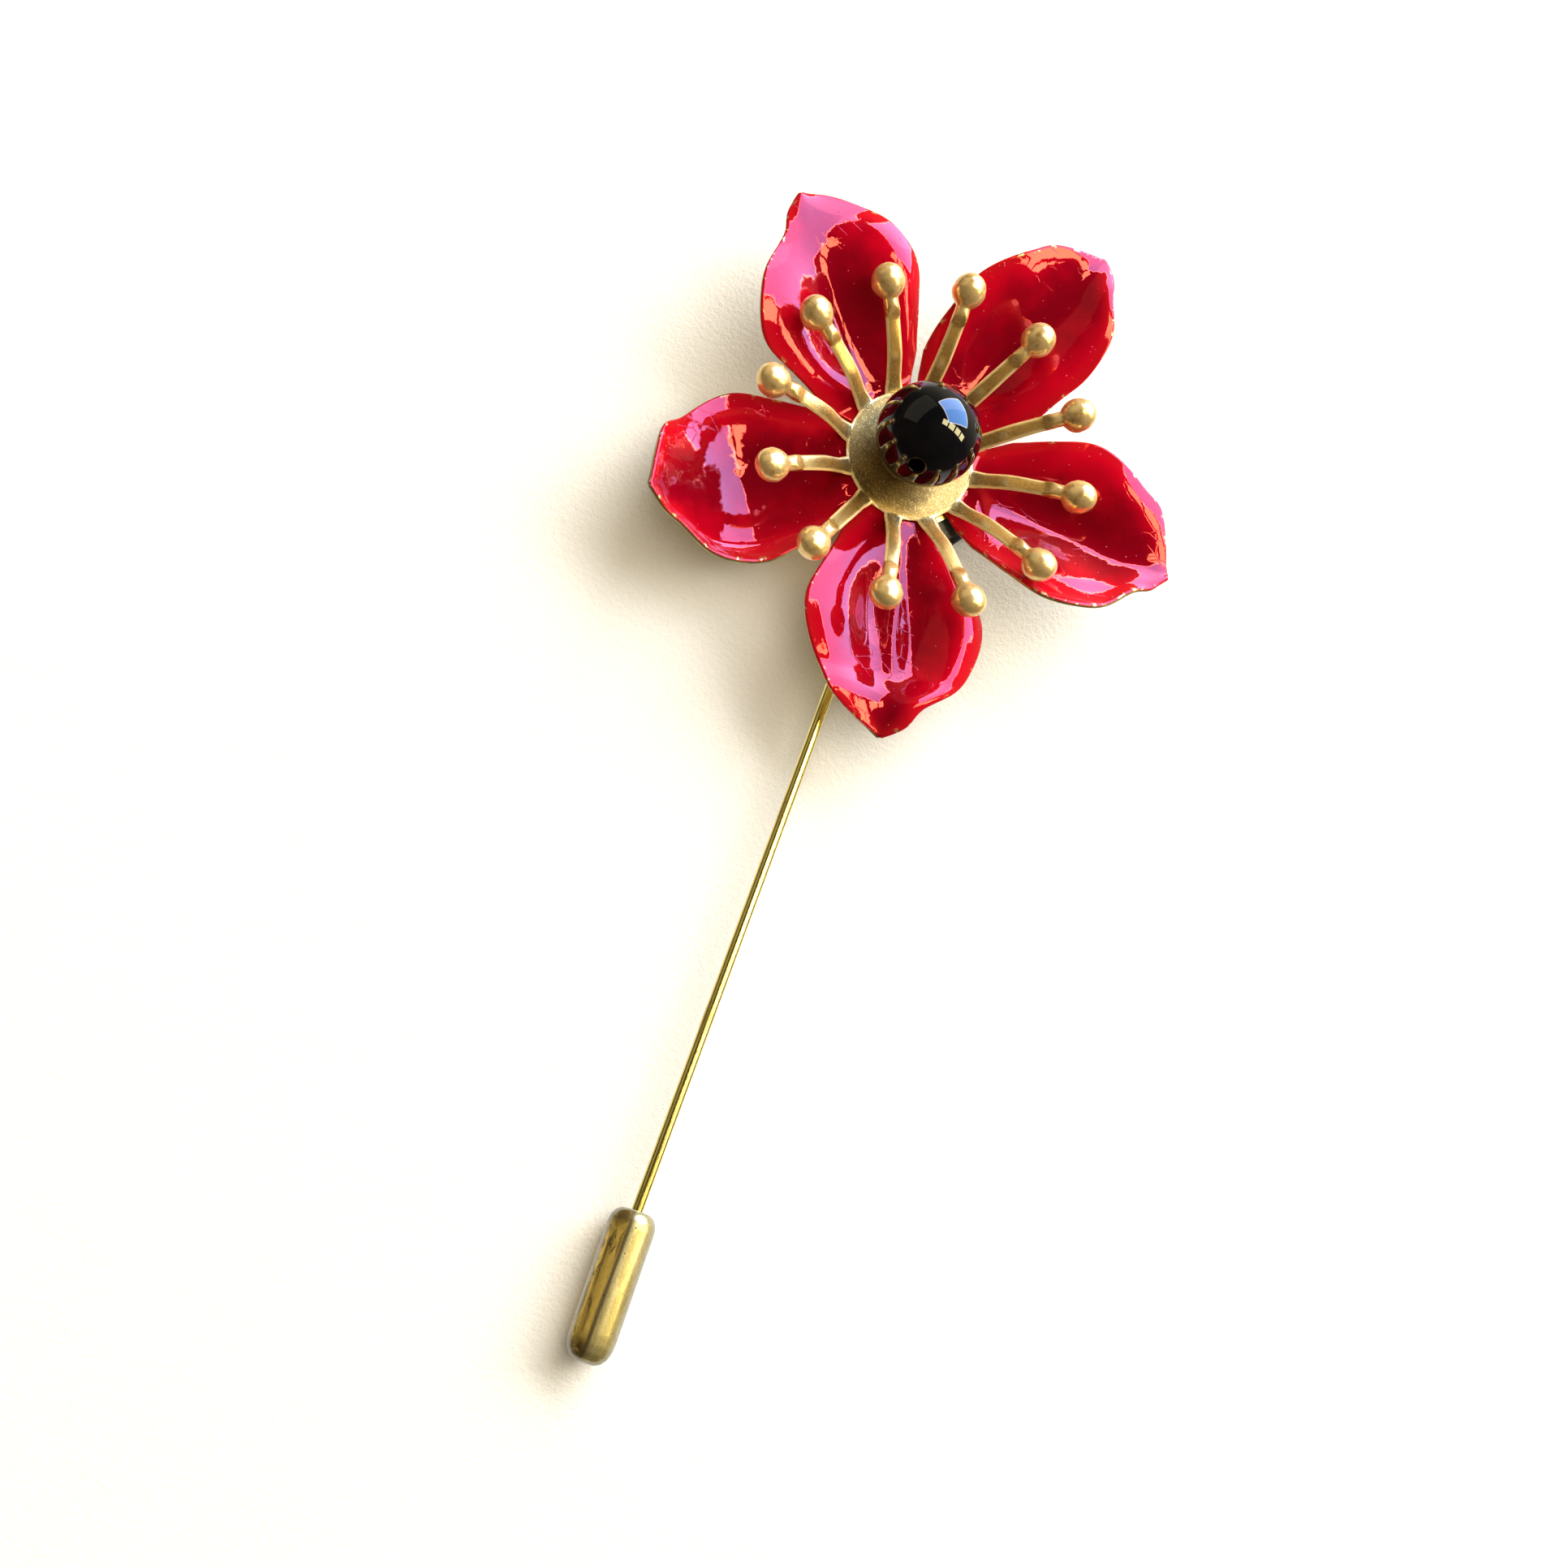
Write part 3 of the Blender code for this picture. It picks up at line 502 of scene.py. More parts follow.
def black_glass():
    """Glossy black glass, very slightly uneven in colour and surface."""
    made = new_material("black_glass_bead", Roughness=0.015, IOR=1.5)
    n = Nodes(made.node_tree)
    where = n.position()
    colour = n.mix(n.band(n.noise(where, 0.3, 2.0), 0.4, 0.7), *GLASS_BLACK)
    n.link(colour, principled(made).inputs["Base Color"])
    normal = n.bump(n.noise(where, 0.8, 1.0), 0.002)
    n.link(normal, principled(made).inputs["Normal"])
    return made


def dull_solid(name, light, dark, roughness, scale, grain_mm):
    """A non-metal with mottled colour and a grainy surface, such as leather or glue."""
    made = new_material(name, Roughness=roughness)
    n = Nodes(made.node_tree)
    where = n.position()
    colour = n.mix(n.band(n.noise(where, scale, 4.0), 0.35, 0.7), dark, light)
    n.link(colour, principled(made).inputs["Base Color"])
    cells = n.voronoi(where, 3.2 * scale, "DISTANCE_TO_EDGE")
    height = n.math("ADD", n.band(cells, 0.0, 0.25), n.noise(where, 5.0 * scale, 3.0))
    n.link(n.bump(height, grain_mm), principled(made).inputs["Normal"])
    return made


# Mesh helpers

def add_piece(name, points, faces, materials, body, nodes, face_materials=None, values=None):
    """A smooth shaded mesh piece on a body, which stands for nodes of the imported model."""
    mesh = bpy.data.meshes.new(name)
    mesh.from_pydata([tuple(p) for p in points], [], faces)
    mesh.validate()
    for made in materials:
        mesh.materials.append(made)
    if face_materials is not None:
        mesh.polygons.foreach_set("material_index", face_materials)
    for attribute, data in (values or {}).items():
        layer = mesh.attributes.new(attribute, "FLOAT", "POINT")
        layer.data.foreach_set("value", np.asarray(data, np.float32))
    mesh.shade_smooth()
    piece = bpy.data.objects.new(name, mesh)
    bpy.context.scene.collection.objects.link(piece)
    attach(piece, body)
    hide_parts(*nodes)
    return piece


def turned(profile, segments, place, is_ring=False):
    """(points, faces) of (radius, height) points turned about Z, then moved by place."""
    points = []
    rings = []
    for radius, height in profile:
        count = segments if radius > 0 else 1
        rings.append([len(points) + i for i in range(count)])
        for i in range(count):
            a = 2 * pi * i / segments
            points.append(place @ Vector((radius * cos(a), radius * sin(a), height)))
    pairs = list(zip(rings, rings[1:]))
    if is_ring:
        pairs.append((rings[-1], rings[0]))
    faces = []
    for low, high in pairs:
        for i in range(segments):
            j = i + 1
            corners = [low[i % len(low)], low[j % len(low)]]
            corners += [high[j % len(high)], high[i % len(high)]]
            faces.append(list(dict.fromkeys(corners)))
    return points, faces


def rounded_profile(corners, radius, steps=5):
    """Replaces each inner corner of a (radius, height) line by a small arc."""
    line = [corners[0]]
    for before, corner, after in zip(corners, corners[1:], corners[2:]):
        corner, before, after = Vector(corner), Vector(before), Vector(after)
        back, on = before - corner, after - corner
        cut = min(radius, back.length / 2, on.length / 2)
        start, end = corner + back.normalized() * cut, corner + on.normalized() * cut
        for i in range(steps + 1):
            t = i / steps
            line.append(tuple((1 - t) ** 2 * start + 2 * t * (1 - t) * corner + t ** 2 * end))
    line.append(corners[-1])
    return line


# Petals

def petal_half_width(place, hollow, form):
    """Half-width at a distance from the axis: a wedge beside its neighbours, then the blade."""
    if place <= NECK_END:
        return place * tan(pi / PETAL_COUNT) - NECK_GAP / 2 / cos(pi / PETAL_COUNT)
    grown = 1 + (form.width - 1) * smooth_step(NECK_END, WIDTH_FULL_AT, place)
    drawn = 1 - hollow * exp(-((place - HOLLOW_CENTRE) / HOLLOW_SPREAD) ** 2)
    return smooth_curve(BLADE, place) * grown * drawn


def petal_height(place, across, form):
    """Height of the petal above its flat tab, where across runs from -1 to 1."""
    blade = min(max(place - PETAL_BOWL_START, 0) / (BLADE_TIP - PETAL_BOWL_START), 1)
    filled = min(blade / form.bowl_reach, 1)
    bowl = sin(pi * filled ** BOWL_SKEW) ** BOWL_FULLNESS if 0 < filled < 1 else 0
    outer = max(abs(across) - BRIM_START, 0) / (1 - BRIM_START)
    brim = form.left_brim if across > 0 else form.right_brim
    sides = form.cup * smooth_step(0, BOWL_END, abs(across)) + brim * outer ** 2
    wave = sin(RIPPLE_ALONG * place + form.wave) * sin(RIPPLE_ACROSS * across + 2 * form.wave)
    ripple = PETAL_RIPPLE * wave * smooth_step(RIPPLE_START, RIPPLE_FULL, blade)
    return smooth_curve(form.rise, blade) + bowl * sides + ripple


def petal_point(place, across, form, mounds):
    """(x, y, z) of the petal's middle surface, with its dents, pointing along +X."""
    stretch = (form.length - NECK_END) / (BLADE_TIP - NECK_END)
    reach = place if place <= NECK_END else NECK_END + (place - NECK_END) * stretch
    hollow = form.left_hollow if across > 0 else form.right_hollow
    shift = form.tip_shift * smooth_step(TIP_SHIFT_START, BLADE_TIP, place)
    side = across * petal_half_width(place, hollow, form) + shift
    blade = (place - PETAL_BOWL_START) / (BLADE_TIP - PETAL_BOWL_START)
    twist = form.twist * smooth_step(TWIST_START, TWIST_FULL, blade)
    height = petal_height(place, across, form) + twist * side
    for m in mounds:
        dx, dy = reach - m.x, side - m.y
        u = (dx * cos(m.turn) + dy * sin(m.turn)) / m.long
        v = (dy * cos(m.turn) - dx * sin(m.turn)) / m.wide
        height += m.height * exp(-u * u - v * v)
    return reach, side, height


def make_petal(index, form, mounds, middle, materials):
    """A sheet with a thinner, rounded rim; enamel on its face, brass on its rim and back."""
    rows, columns = PETAL_ROWS, PETAL_COLUMNS
    # Points crowd toward the tip and the sides, where the rim is rounded.
    acrosses = [sin(pi / 2 * (2 * j / (columns - 1) - 1)) for j in range(columns)]
    middle_points = np.empty((rows, columns, 3))
    for i in range(rows):
        share = sin(pi / 2 * (i / (rows - 1)) ** 0.9) ** 1.1
        place = PETAL_START + (BLADE_TIP - PETAL_START) * share
        middle_points[i] = [petal_point(place, across, form, mounds) for across in acrosses]
    along = np.gradient(middle_points, axis=0)
    over = np.gradient(middle_points, axis=1)
    normal = np.cross(along, over)
    normal /= np.maximum(np.linalg.norm(normal, axis=2, keepdims=True), 1e-12)
    rim = np.concatenate([middle_points[:, 0], middle_points[-1], middle_points[:, -1]])
    flat = middle_points.reshape(-1, 3)
    edge = np.min(np.linalg.norm(flat[:, None, :2] - rim[None, :, :2], axis=2), axis=1)
    near = np.clip(1 - edge / PETAL_EDGE_ROUND, 0, 1)
    half = PETAL_THICKNESS / 2 * np.sqrt(1 - PETAL_EDGE_THINNING * near ** 2)
    offset = normal.reshape(-1, 3) * half[:, None]
    top, bottom = flat + offset, flat - offset
    azimuth = PETAL_1_AZIMUTH + form.turn - 2 * pi * index / PETAL_COUNT
    place = Matrix.Translation(middle) @ Matrix.Rotation(azimuth, 4, "Z")
    points = [place @ Vector(p) for p in np.concatenate([top, bottom])]

    def at(i, j, is_bottom=False):
        return i * columns + j + is_bottom * rows * columns

    faces, kinds = [], []
    for i in range(rows - 1):
        for j in range(columns - 1):
            faces.append((at(i, j), at(i + 1, j), at(i + 1, j + 1), at(i, j + 1)))
            faces.append((at(i, j, True), at(i, j + 1, True), at(i + 1, j + 1, True),
                          at(i + 1, j, True)))
            kinds += [0, 1]
    border = [(i, 0) for i in range(rows)] + [(rows - 1, j) for j in range(1, columns)]
    border += [(i, columns - 1) for i in range(rows - 2, -1, -1)]
    border += [(0, j) for j in range(columns - 2, 0, -1)]
    for (i, j), (k, m) in zip(border, border[1:] + border[:1]):
        faces.append((at(i, j), at(i, j, True), at(k, m, True), at(k, m)))
        kinds.append(1)
    # Enamel pools along the middle of the petal, out to about three quarters of its width.
    depth = np.tile(np.clip(1 - 1.3 * np.abs(np.linspace(-1, 1, columns)), 0, 1), rows)
    values = {"edge": np.tile(edge * 1000, 2), "depth": np.tile(depth, 2)}
    name = f"petal_{index + 1}"
    add_piece(name + "_enamelled", points, faces, materials, "pin", [name],
              kinds, values)


# Stamens

def strip_half_width(x):
    """Half-width of the stamping at a distance x from the axis, from the hub's flat outward."""
    widening = ROOT_WIDENING * smooth_step(HUB_RADIUS, HUB_RADIUS + ROOT_LENGTH, x)
    narrow = STRIP_HALF_WIDTH * (1 + ROOT_WIDENING - widening)
    narrow *= 1 - TAPER * smooth_step(TAPER_START, TAPER_END, x)
    apart = pi / STAMEN_COUNT
    hub_side = HUB_RADIUS * sin(apart) - (x - HUB_RADIUS * cos(apart)) / tan(apart)
    return narrow + ROOT_FILLET * np.logaddexp(0, (hub_side - narrow) / ROOT_FILLET)


def stamen_sections():
    """(x, height, half-width, half-thickness, roundness, lean) along one stamen."""
    start = HUB_RADIUS * cos(pi / STAMEN_COUNT)
    ball_start = BALL_CENTRE_RADIUS - 1.02 * BALL_RADIUS
    # Sections are closest where the strip leaves the hub, and evenly turned round the ball.
    xs = list(np.linspace(start, start + 0.0003, 14))
    xs += list(np.linspace(start + 0.00036, start + 0.0016, 14))
    xs += list(np.linspace(start + 0.0018, ball_start - 0.0001, 34))
    angles = np.linspace(0.12, pi, 30)
    xs += [BALL_CENTRE_RADIUS - BALL_RADIUS * cos(a) for a in angles]
    sections = []
    for x in sorted(xs):
        roundness = smooth_step(COLLAR_START, COLLAR_START + COLLAR_LENGTH, x)
        wide = strip_half_width(x)
        leaving = smooth_step(start, start + ROOT_BLEND, x)
        thin = STRIP_HALF_THICKNESS + (HUB_HALF_THICKNESS - STRIP_HALF_THICKNESS) * (1 - leaving)
        thin += roundness * (wide * COLLAR_FLATNESS - thin)
        beyond = BALL_RADIUS ** 2 - (x - BALL_CENTRE_RADIUS) ** 2
        ball = sqrt(max(beyond, 0.0))
        if x < BALL_CENTRE_RADIUS:
            wide = (wide ** 3 + ball ** 3) ** (1 / 3)
            thin = (thin ** 3 + ball ** 3) ** (1 / 3)
        else:
            wide = thin = ball
        slope = (smooth_curve(STAMEN_RISE, x + 1e-5) - smooth_curve(STAMEN_RISE, x - 1e-5)) / 2e-5
        lean = atan2(slope, 1) * leaving * (1 - smooth_step(ball_start, BALL_CENTRE_RADIUS, x))
        sections.append((x, smooth_curve(STAMEN_RISE, x), wide, thin, roundness, lean))
    return sections


def bevel_depth(x, y, outline):
    """How far a point is down the stamping's bevelled edge: 1 on the outline, 0 on the flat."""
    distance = np.min(np.hypot(outline[:, 0] - x, outline[:, 1] - abs(y)))
    return max(1 - distance / BEVEL_WIDTH, 0.0)


def make_stamens(centre, materials):
    """One closed surface: each stamen's tube starts from its twelfth of the flat hub."""
    sections = stamen_sections()
    angles = [2 * pi * k / SECTION_POINTS for k in range(SECTION_POINTS)]
    half = SECTION_POINTS // 2
    start = sections[0][0]
    outline = np.array([(x, strip_half_width(x)) for x in np.linspace(start, COLLAR_START, 400)])

    arm_points, arm_wear_and_sheen, arm_reach = [], [], []
    for x, height, wide, thin, roundness, lean in sections:
        power = 2 / (FLAT_SQUARENESS + (2 - FLAT_SQUARENESS) * roundness)
        for a in angles:
            y = wide * np.sign(cos(a)) * abs(cos(a)) ** power
            z = thin * np.sign(sin(a)) * abs(sin(a)) ** power
            bevel = bevel_depth(x, y, outline) * (1 - roundness)
            z *= 1 - BEVEL_DROP * bevel ** 2
            arm_points.append(Vector((x - z * sin(lean), y, height + z * cos(lean))))
            # Bevelled edges, collars and balls get worn brass with a painted highlight.
            arm_wear_and_sheen.append(max(bevel, BALL_WEAR_AND_SHEEN * roundness))
            arm_reach.append(smooth_step(HUB_RADIUS, REACH_FULL_AT, x))
    hub_rows = []
    wide, power = sections[0][2], 2 / FLAT_SQUARENESS
    for ring in range(1, HUB_RINGS + 1):
        share = (ring / HUB_RINGS) ** 2
        row = []
        for k in range(half + 1):
            azimuth = atan2(wide * np.sign(cos(angles[k])) * abs(cos(angles[k])) ** power, start)
            outer = start / cos(azimuth)
            radius = outer + (HUB_HOLE_RADIUS - outer) * share
            x, y = radius * cos(azimuth), radius * sin(azimuth)
            bevel = bevel_depth(x, y, outline)
            row.append((Vector((x, y, HUB_HALF_THICKNESS * (1 - BEVEL_DROP * bevel ** 2))), bevel))
        hub_rows.append(row)

    points, faces, wear_and_sheen, reach = [], [], [], []
    for arm in range(STAMEN_COUNT):
        turn = Matrix.Translation(centre) @ Matrix.Rotation(
            STAMEN_FIRST_AZIMUTH + 2 * pi * arm / STAMEN_COUNT, 4, "Z")
        first = len(points)
        points += [turn @ p for p in arm_points]
        wear_and_sheen += arm_wear_and_sheen
        reach += arm_reach
        for i in range(len(sections) - 1):
            low, high = first + i * SECTION_POINTS, first + (i + 1) * SECTION_POINTS
            for k in range(SECTION_POINTS):
                m = (k + 1) % SECTION_POINTS
                faces.append((low + k, high + k, high + m, low + m))
        holes = []
        for side in (1, -1):
            row = [first + side * k % SECTION_POINTS for k in range(half + 1)]
            for hub_row in hub_rows:
                new_row = [len(points) + k for k in range(half + 1)]
                for point, bevel in hub_row:
                    points.append(turn @ Vector((point.x, point.y, side * point.z)))
                    wear_and_sheen.append(bevel)
                    reach.append(0.0)
                for k in range(half):
                    corners = (row[k], row[k + 1], new_row[k + 1], new_row[k])
                    faces.append(corners if side > 0 else corners[::-1])
                row = new_row
            holes.append(row)
        top, bottom = holes
        for k in range(half):
            faces.append((top[k], top[k + 1], bottom[k + 1], bottom[k]))
    piece = add_piece("stamens_stamped", points, faces, materials, "pin", ["stamen_stamping"],
                      values={"wear_and_sheen": wear_and_sheen, "reach": reach})
    join_seams(piece, 1e-6)


def join_seams(piece, distance):
    """Merges points that lie on each other and turns every face outward."""
    bm = bmesh.new()
    bm.from_mesh(piece.data)
    bmesh.ops.remove_doubles(bm, verts=bm.verts, dist=distance)
    bmesh.ops.dissolve_degenerate(bm, edges=bm.edges, dist=1e-8)
    bmesh.ops.recalc_face_normals(bm, faces=bm.faces)
    bm.to_mesh(piece.data)
    bm.free()


# Bead, pin, clutch and backing

def make_bead(materials):
    """A glass ball turned about its drilled hole, whose lips are bevelled."""
    low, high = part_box("bead")
    centre = (low + high) / 2
    hole = BEAD_HOLE_RADIUS
    lip = sqrt(BEAD_RADIUS ** 2 - (hole + BEAD_LIP_WIDTH) ** 2)
    start = atan2(hole + BEAD_LIP_WIDTH, lip)
    angles = [start + (pi - 2 * start) * i / 80 for i in range(81)]
    profile = [(BEAD_RADIUS * sin(a), BEAD_RADIUS * cos(a)) for a in angles]
    inner_lip = lip - BEAD_LIP_DEPTH
    bevel_out, bevel_in = BEAD_LIP_BEVEL
    profile += [(hole + bevel_out, -lip + bevel_in), (hole, -inner_lip)]
    profile += [(hole, -inner_lip + 2 * inner_lip * i / 8) for i in range(1, 8)]
    profile += [(hole, inner_lip), (hole + bevel_out, lip - bevel_in)]
    turn = BEAD_HOLE_DIRECTION.to_track_quat("Z", "Y").to_matrix().to_4x4()
    points, faces = turned(profile, 128, Matrix.Translation(centre) @ turn, is_ring=True)
    piece = add_piece("bead_glass", points, faces, materials, "pin", ["bead"])
    join_seams(piece, 1e-7)


def make_pin(materials):
    """The wire, from its root under the flower to its ground point in the clutch."""
    low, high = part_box("pin_stem")
    axis_x, axis_z = (low.x + high.x) / 2, (low.z + high.z) / 2
    straight = high.y - low.y - PIN_POINT_LENGTH
    profile = [(0, 0), (PIN_RADIUS * PIN_ROOT_FLAT, 0), (PIN_RADIUS, PIN_ROOT_BEVEL)]
    profile += [(PIN_RADIUS, straight * i / 60) for i in range(1, 61)]
    for t in [i / 12 for i in range(1, 12)]:
        radius = PIN_RADIUS * (1 - t) ** PIN_POINT_FULLNESS
        profile.append((radius, straight + PIN_POINT_LENGTH * t))
    profile.append((0, straight + PIN_POINT_LENGTH))
    place = Matrix.Translation((axis_x, high.y, axis_z)) @ Matrix.Rotation(pi / 2, 4, "X")
    points, faces = turned(profile, 48, place)
    piece = add_piece("pin_wire", points, faces, materials, "pin", ["pin_stem"])
    join_seams(piece, 1e-7)


def clutch_place():
    """Turns a profile's height into the cap's length, from its mouth on the pin to its end."""
    low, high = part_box("pin_stem")
    mouth = Vector(((low.x + high.x) / 2, CLUTCH_MOUTH_Y, (low.z + high.z) / 2))
    turn = Matrix.Rotation(CLUTCH_SKEW, 4, "Z") @ Matrix.Rotation(pi / 2, 4, "X")
    return Matrix.Translation(mouth) @ turn


def make_clutch(materials):
    """The cap: a rolled mouth, a straight barrel and a domed closed end, hollow inside."""
    outer, wall, end = CLUTCH_RADIUS, CLUTCH_WALL, CLUTCH_LENGTH
    inner, mouth = outer - wall, CLUTCH_MOUTH_HOLE_RADIUS
    dome_start = end - CLUTCH_DOME[-1][1]
    corners = [(0, end)] + [(outer * share, end - drop) for share, drop in CLUTCH_DOME]
    corners += [(outer * share, height) for share, height in CLUTCH_ROLL]
    corners += [(mouth, 0), (mouth, wall), (inner, CLUTCH_INNER_ROLL), (inner, dome_start)]
    corners += [(inner * 0.6, end - wall - CLUTCH_INNER_DOME), (0, end - wall)]
    profile = rounded_profile(corners, CLUTCH_CORNER_ROUND)
    points, faces = turned(profile, 96, clutch_place())
    piece = add_piece("clutch_cap_plated", points, faces, materials, "clutch_cap",
                      ["clutch_shell"])
    join_seams(piece, 1e-7)


def make_backing(materials):
    """The leather disc behind the flower, with rounded edges."""
    low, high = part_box("backing_disc")
    thick = high.z - low.z
    corners = [(0, 0), (BACKING_RADIUS, 0), (BACKING_RADIUS, thick), (0, thick)]
    profile = rounded_profile(corners, BACKING_EDGE_ROUND, 6)
    middle = (low + high) / 2
    place = Matrix.Translation((middle.x, middle.y, low.z))
    points, faces = turned(profile, 128, place)
    piece = add_piece("backing_leather", points, faces, materials, "pin", ["backing_disc"])
    join_seams(piece, 1e-7)


# Stage

def add_floor():
    """Pale card. Gloss doesn't see it, but sees the table that the world shows instead."""
    size = FLOOR_HALF_SIZE
    mesh = bpy.data.meshes.new("floor")
    corners = [(-size, -size, 0), (size, -size, 0), (size, size, 0), (-size, size, 0)]
    mesh.from_pydata(corners, [], [(0, 1, 2, 3)])
    made = new_material("pale_card", Roughness=0.9)
    n = Nodes(made.node_tree)
    where = n.position()
    colour = n.mix(n.noise(where, 0.05, 4.0), *CARD_PALE)
    n.link(colour, principled(made).inputs["Base Color"])
    n.link(n.bump(n.noise(where, 1.8, 5.0, 0.7), 0.10), principled(made).inputs["Normal"])
    mesh.materials.append(made)
    floor = bpy.data.objects.new("floor", mesh)
    bpy.context.scene.collection.objects.link(floor)
    floor.visible_glossy = False


def direction_to(azimuth, elevation):
    return Vector((cos(azimuth) * cos(elevation), sin(azimuth) * cos(elevation), sin(elevation)))


def add_area_light(name, panel, shown, shift=(0, 0)):
    """A rectangle of light facing the flower, which shows in gloss or else lights matt surfaces.

    It is shifted in its own plane.
    """
    azimuth, elevation, roll = [radians(angle) for angle in panel.place]
    data = bpy.data.lights.new(name, "AREA")
    data.shape = "RECTANGLE"
    data.size, data.size_y = [side * LIGHT_DISTANCE for side in panel.size]
    data.color = panel.colour
    data.energy = panel.radiance * pi * data.size * data.size_y
    light = bpy.data.objects.new(name, data)
    bpy.context.scene.collection.objects.link(light)
    light.visible_glossy = shown == "gloss"
    light.visible_diffuse = shown == "matt"
    outward = direction_to(azimuth, elevation)
    turn = outward.to_track_quat("Z", "Y") @ Quaternion((0, 0, 1), roll)
    light.location = LIGHT_DISTANCE * (outward + turn @ Vector((*shift, 0)))
    light.rotation_mode = "QUATERNION"
    light.rotation_quaternion = turn


def add_lights():
    """A window of a deep and a pale blue panel in a pale frame, and warm panes beside it.

    Gloss sees these and a dim wall. Matt surfaces are lit by one neutral panel and a ceiling.
    """
    add_area_light("daylight", DAYLIGHT, "matt")
    add_area_light("ceiling", CEILING, "matt")
    wide, tall = WINDOW_SIZE
    deep_shift, pale_shift = (WINDOW_DEEP.size[0] - wide) / 2, (wide - WINDOW_PALE.size[0]) / 2
    add_area_light("window_deep", WINDOW_DEEP, "gloss", (deep_shift, WINDOW_DROP))
    add_area_light("window_pale", WINDOW_PALE, "gloss", (pale_shift, WINDOW_DROP))
    for side in (-1, 1):
        across, along = side * (wide + FRAME_WIDTH) / 2, side * (tall + FRAME_WIDTH) / 2
        add_area_light(f"frame_upright_{side + 2}", FRAME_UPRIGHT, "gloss",
                       (across, WINDOW_DROP))
        add_area_light(f"frame_bar_{side + 2}", FRAME_BAR, "gloss", (0, along + WINDOW_DROP))
    add_area_light("wall", WALL, "gloss")
    for k in range(SILL_PANES):
        middle = (k - (SILL_PANES - 1) / 2) * SILL_PANE_STEP
        add_area_light(f"sill_{k + 1}", SILL_PANE, "gloss", (middle + SILL_SHIFT, 0))


def add_world():
    """A dim room that brightens low down toward the window, above a pale table.

    Gloss sees this table in place of the floor, and it stops some way off as a real one does.
    """
    world = bpy.data.worlds.new("room")
    bpy.context.scene.world = world
    world.use_nodes = True
    n = Nodes(world.node_tree)
    direction = n.add("TexCoord").outputs["Generated"]
    toward = n.add("VectorMath", operation="DOT_PRODUCT")
    n.link(direction, toward.inputs[0])
    toward.inputs[1].default_value = direction_to(GLOW_AZIMUTH, GLOW_ELEVATION)
    ramp = n.add("ValToRGB", {"Fac": toward.outputs["Value"]})
    first, last = ramp.color_ramp.elements
    first.position, first.color = 0.40, (*ROOM_DIM, 1)
    last.position, last.color = 0.98, (*ROOM_GLOW, 1)
    ramp.color_ramp.elements.new(0.75).color = (*ROOM_MIDDLE, 1)
    height = n.add("SeparateXYZ", {"Vector": direction}).outputs["Z"]
    below = n.band(height, TABLE_START, TABLE_FULL)
    colour = n.mix(below, ramp.outputs["Color"], TABLE_COLOUR)
    background = world.node_tree.nodes["Background"]
    n.link(colour, background.inputs["Color"])
    background.inputs["Strength"].default_value = 1.0


def add_camera():
    data = bpy.data.cameras.new("camera")
    data.lens, data.sensor_width = CAMERA_LENS, CAMERA_SENSOR
    camera = bpy.data.objects.new("camera", data)
    bpy.context.scene.collection.objects.link(camera)
    camera.location = CAMERA_PLACE
    camera.rotation_mode = "QUATERNION"
    camera.rotation_quaternion = Quaternion(CAMERA_TURN, CAMERA_TURN.length)
    data.clip_start, data.clip_end = 0.01, 10
    bpy.context.scene.camera = camera


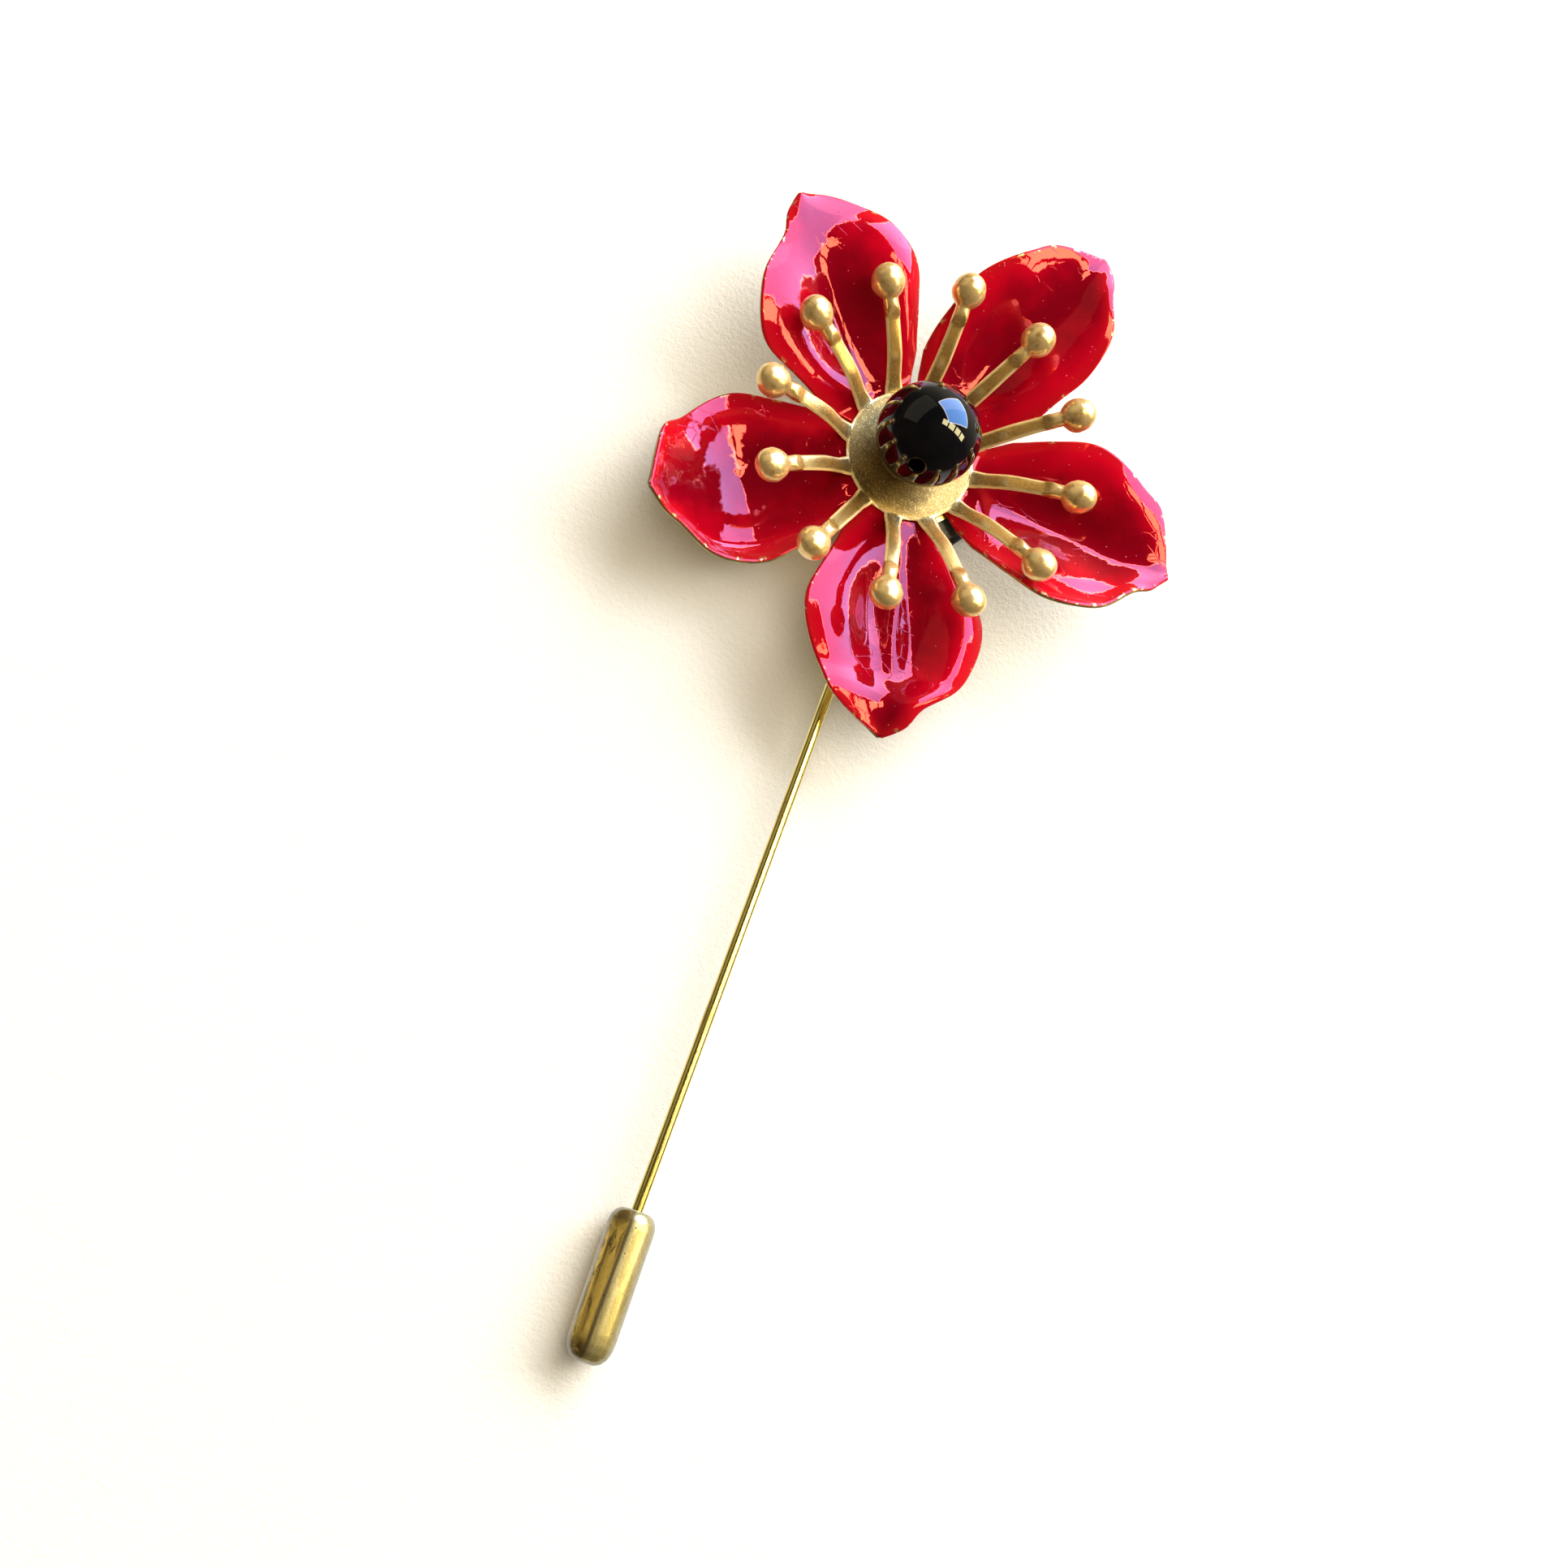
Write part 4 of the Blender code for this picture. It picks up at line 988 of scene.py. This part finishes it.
def finish_inner_nodes(brass, gold):
    """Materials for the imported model's inner nodes, which keep their own shape."""
    finishes = {
        "glue_bed": dull_solid("set_black_glue", light=(0.05, 0.048, 0.045),
                               dark=(0.02, 0.02, 0.02), roughness=0.35, scale=0.6, grain_mm=0.01),
        "solder_joint": metal("grey_solder", bright=(0.66, 0.66, 0.66), dull=(0.42, 0.42, 0.43),
                              roughness=0.32, grain_mm=0.004, spots=0.02),
        "pin_pad": gold,
        "centre_rivet": brass,
        "bead_glue": dull_solid("set_clear_glue", light=(0.52, 0.46, 0.33),
                                dark=(0.40, 0.33, 0.20), roughness=0.18, scale=0.5,
                                grain_mm=0.006),
        "clutch_liner": dull_solid("white_nylon_sleeve", light=(0.80, 0.79, 0.75),
                                   dark=(0.70, 0.69, 0.64), roughness=0.45, scale=0.8,
                                   grain_mm=0.006),
    }
    for name, made in finishes.items():
        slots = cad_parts[name].data.materials
        slots.clear()
        slots.append(made)


def main():
    enamel = red_enamel()
    bare_brass = metal("bare_brass", bright=(0.50, 0.36, 0.15), dull=(0.30, 0.20, 0.09),
                       roughness=0.42, grain_mm=0.004, spots=0.02)
    stamen_brass = stamen_metal()
    gold = metal("gold_wire", bright=(0.86, 0.68, 0.20), dull=(0.62, 0.44, 0.10),
                 roughness=0.14, grain_mm=0.001, spots=0.03, stretch=(1, 0.4, 1))
    leather = dull_solid("backing_black_leather", light=(0.030, 0.028, 0.026),
                         dark=(0.012, 0.011, 0.011), roughness=0.62, scale=1.0, grain_mm=0.03)

    # The petals lie on the pad, and the stamens' hub on the petals.
    pad_low, pad_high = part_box("pin_pad")
    head_x, pad_top = (pad_low.x + pad_high.x) / 2, pad_high.z
    petal_middle = pad_top + CONTACT_GAP + PETAL_THICKNESS / 2
    hub_middle = pad_top + 2 * CONTACT_GAP + PETAL_THICKNESS + HUB_HALF_THICKNESS
    for i, (form, mounds) in enumerate(zip(PETAL_FORMS, PETAL_MOUNDS)):
        make_petal(i, form, mounds, (head_x, 0, petal_middle), (enamel, bare_brass))
    make_stamens((head_x, 0, hub_middle), [stamen_brass])
    make_bead([black_glass()])
    make_pin([gold])
    make_clutch([clutch_metal()])
    make_backing([leather])
    finish_inner_nodes(stamen_brass, gold)

    add_floor()
    add_world()
    add_lights()
    bpy.context.scene.view_settings.view_transform = "Standard"
    add_camera()


main()
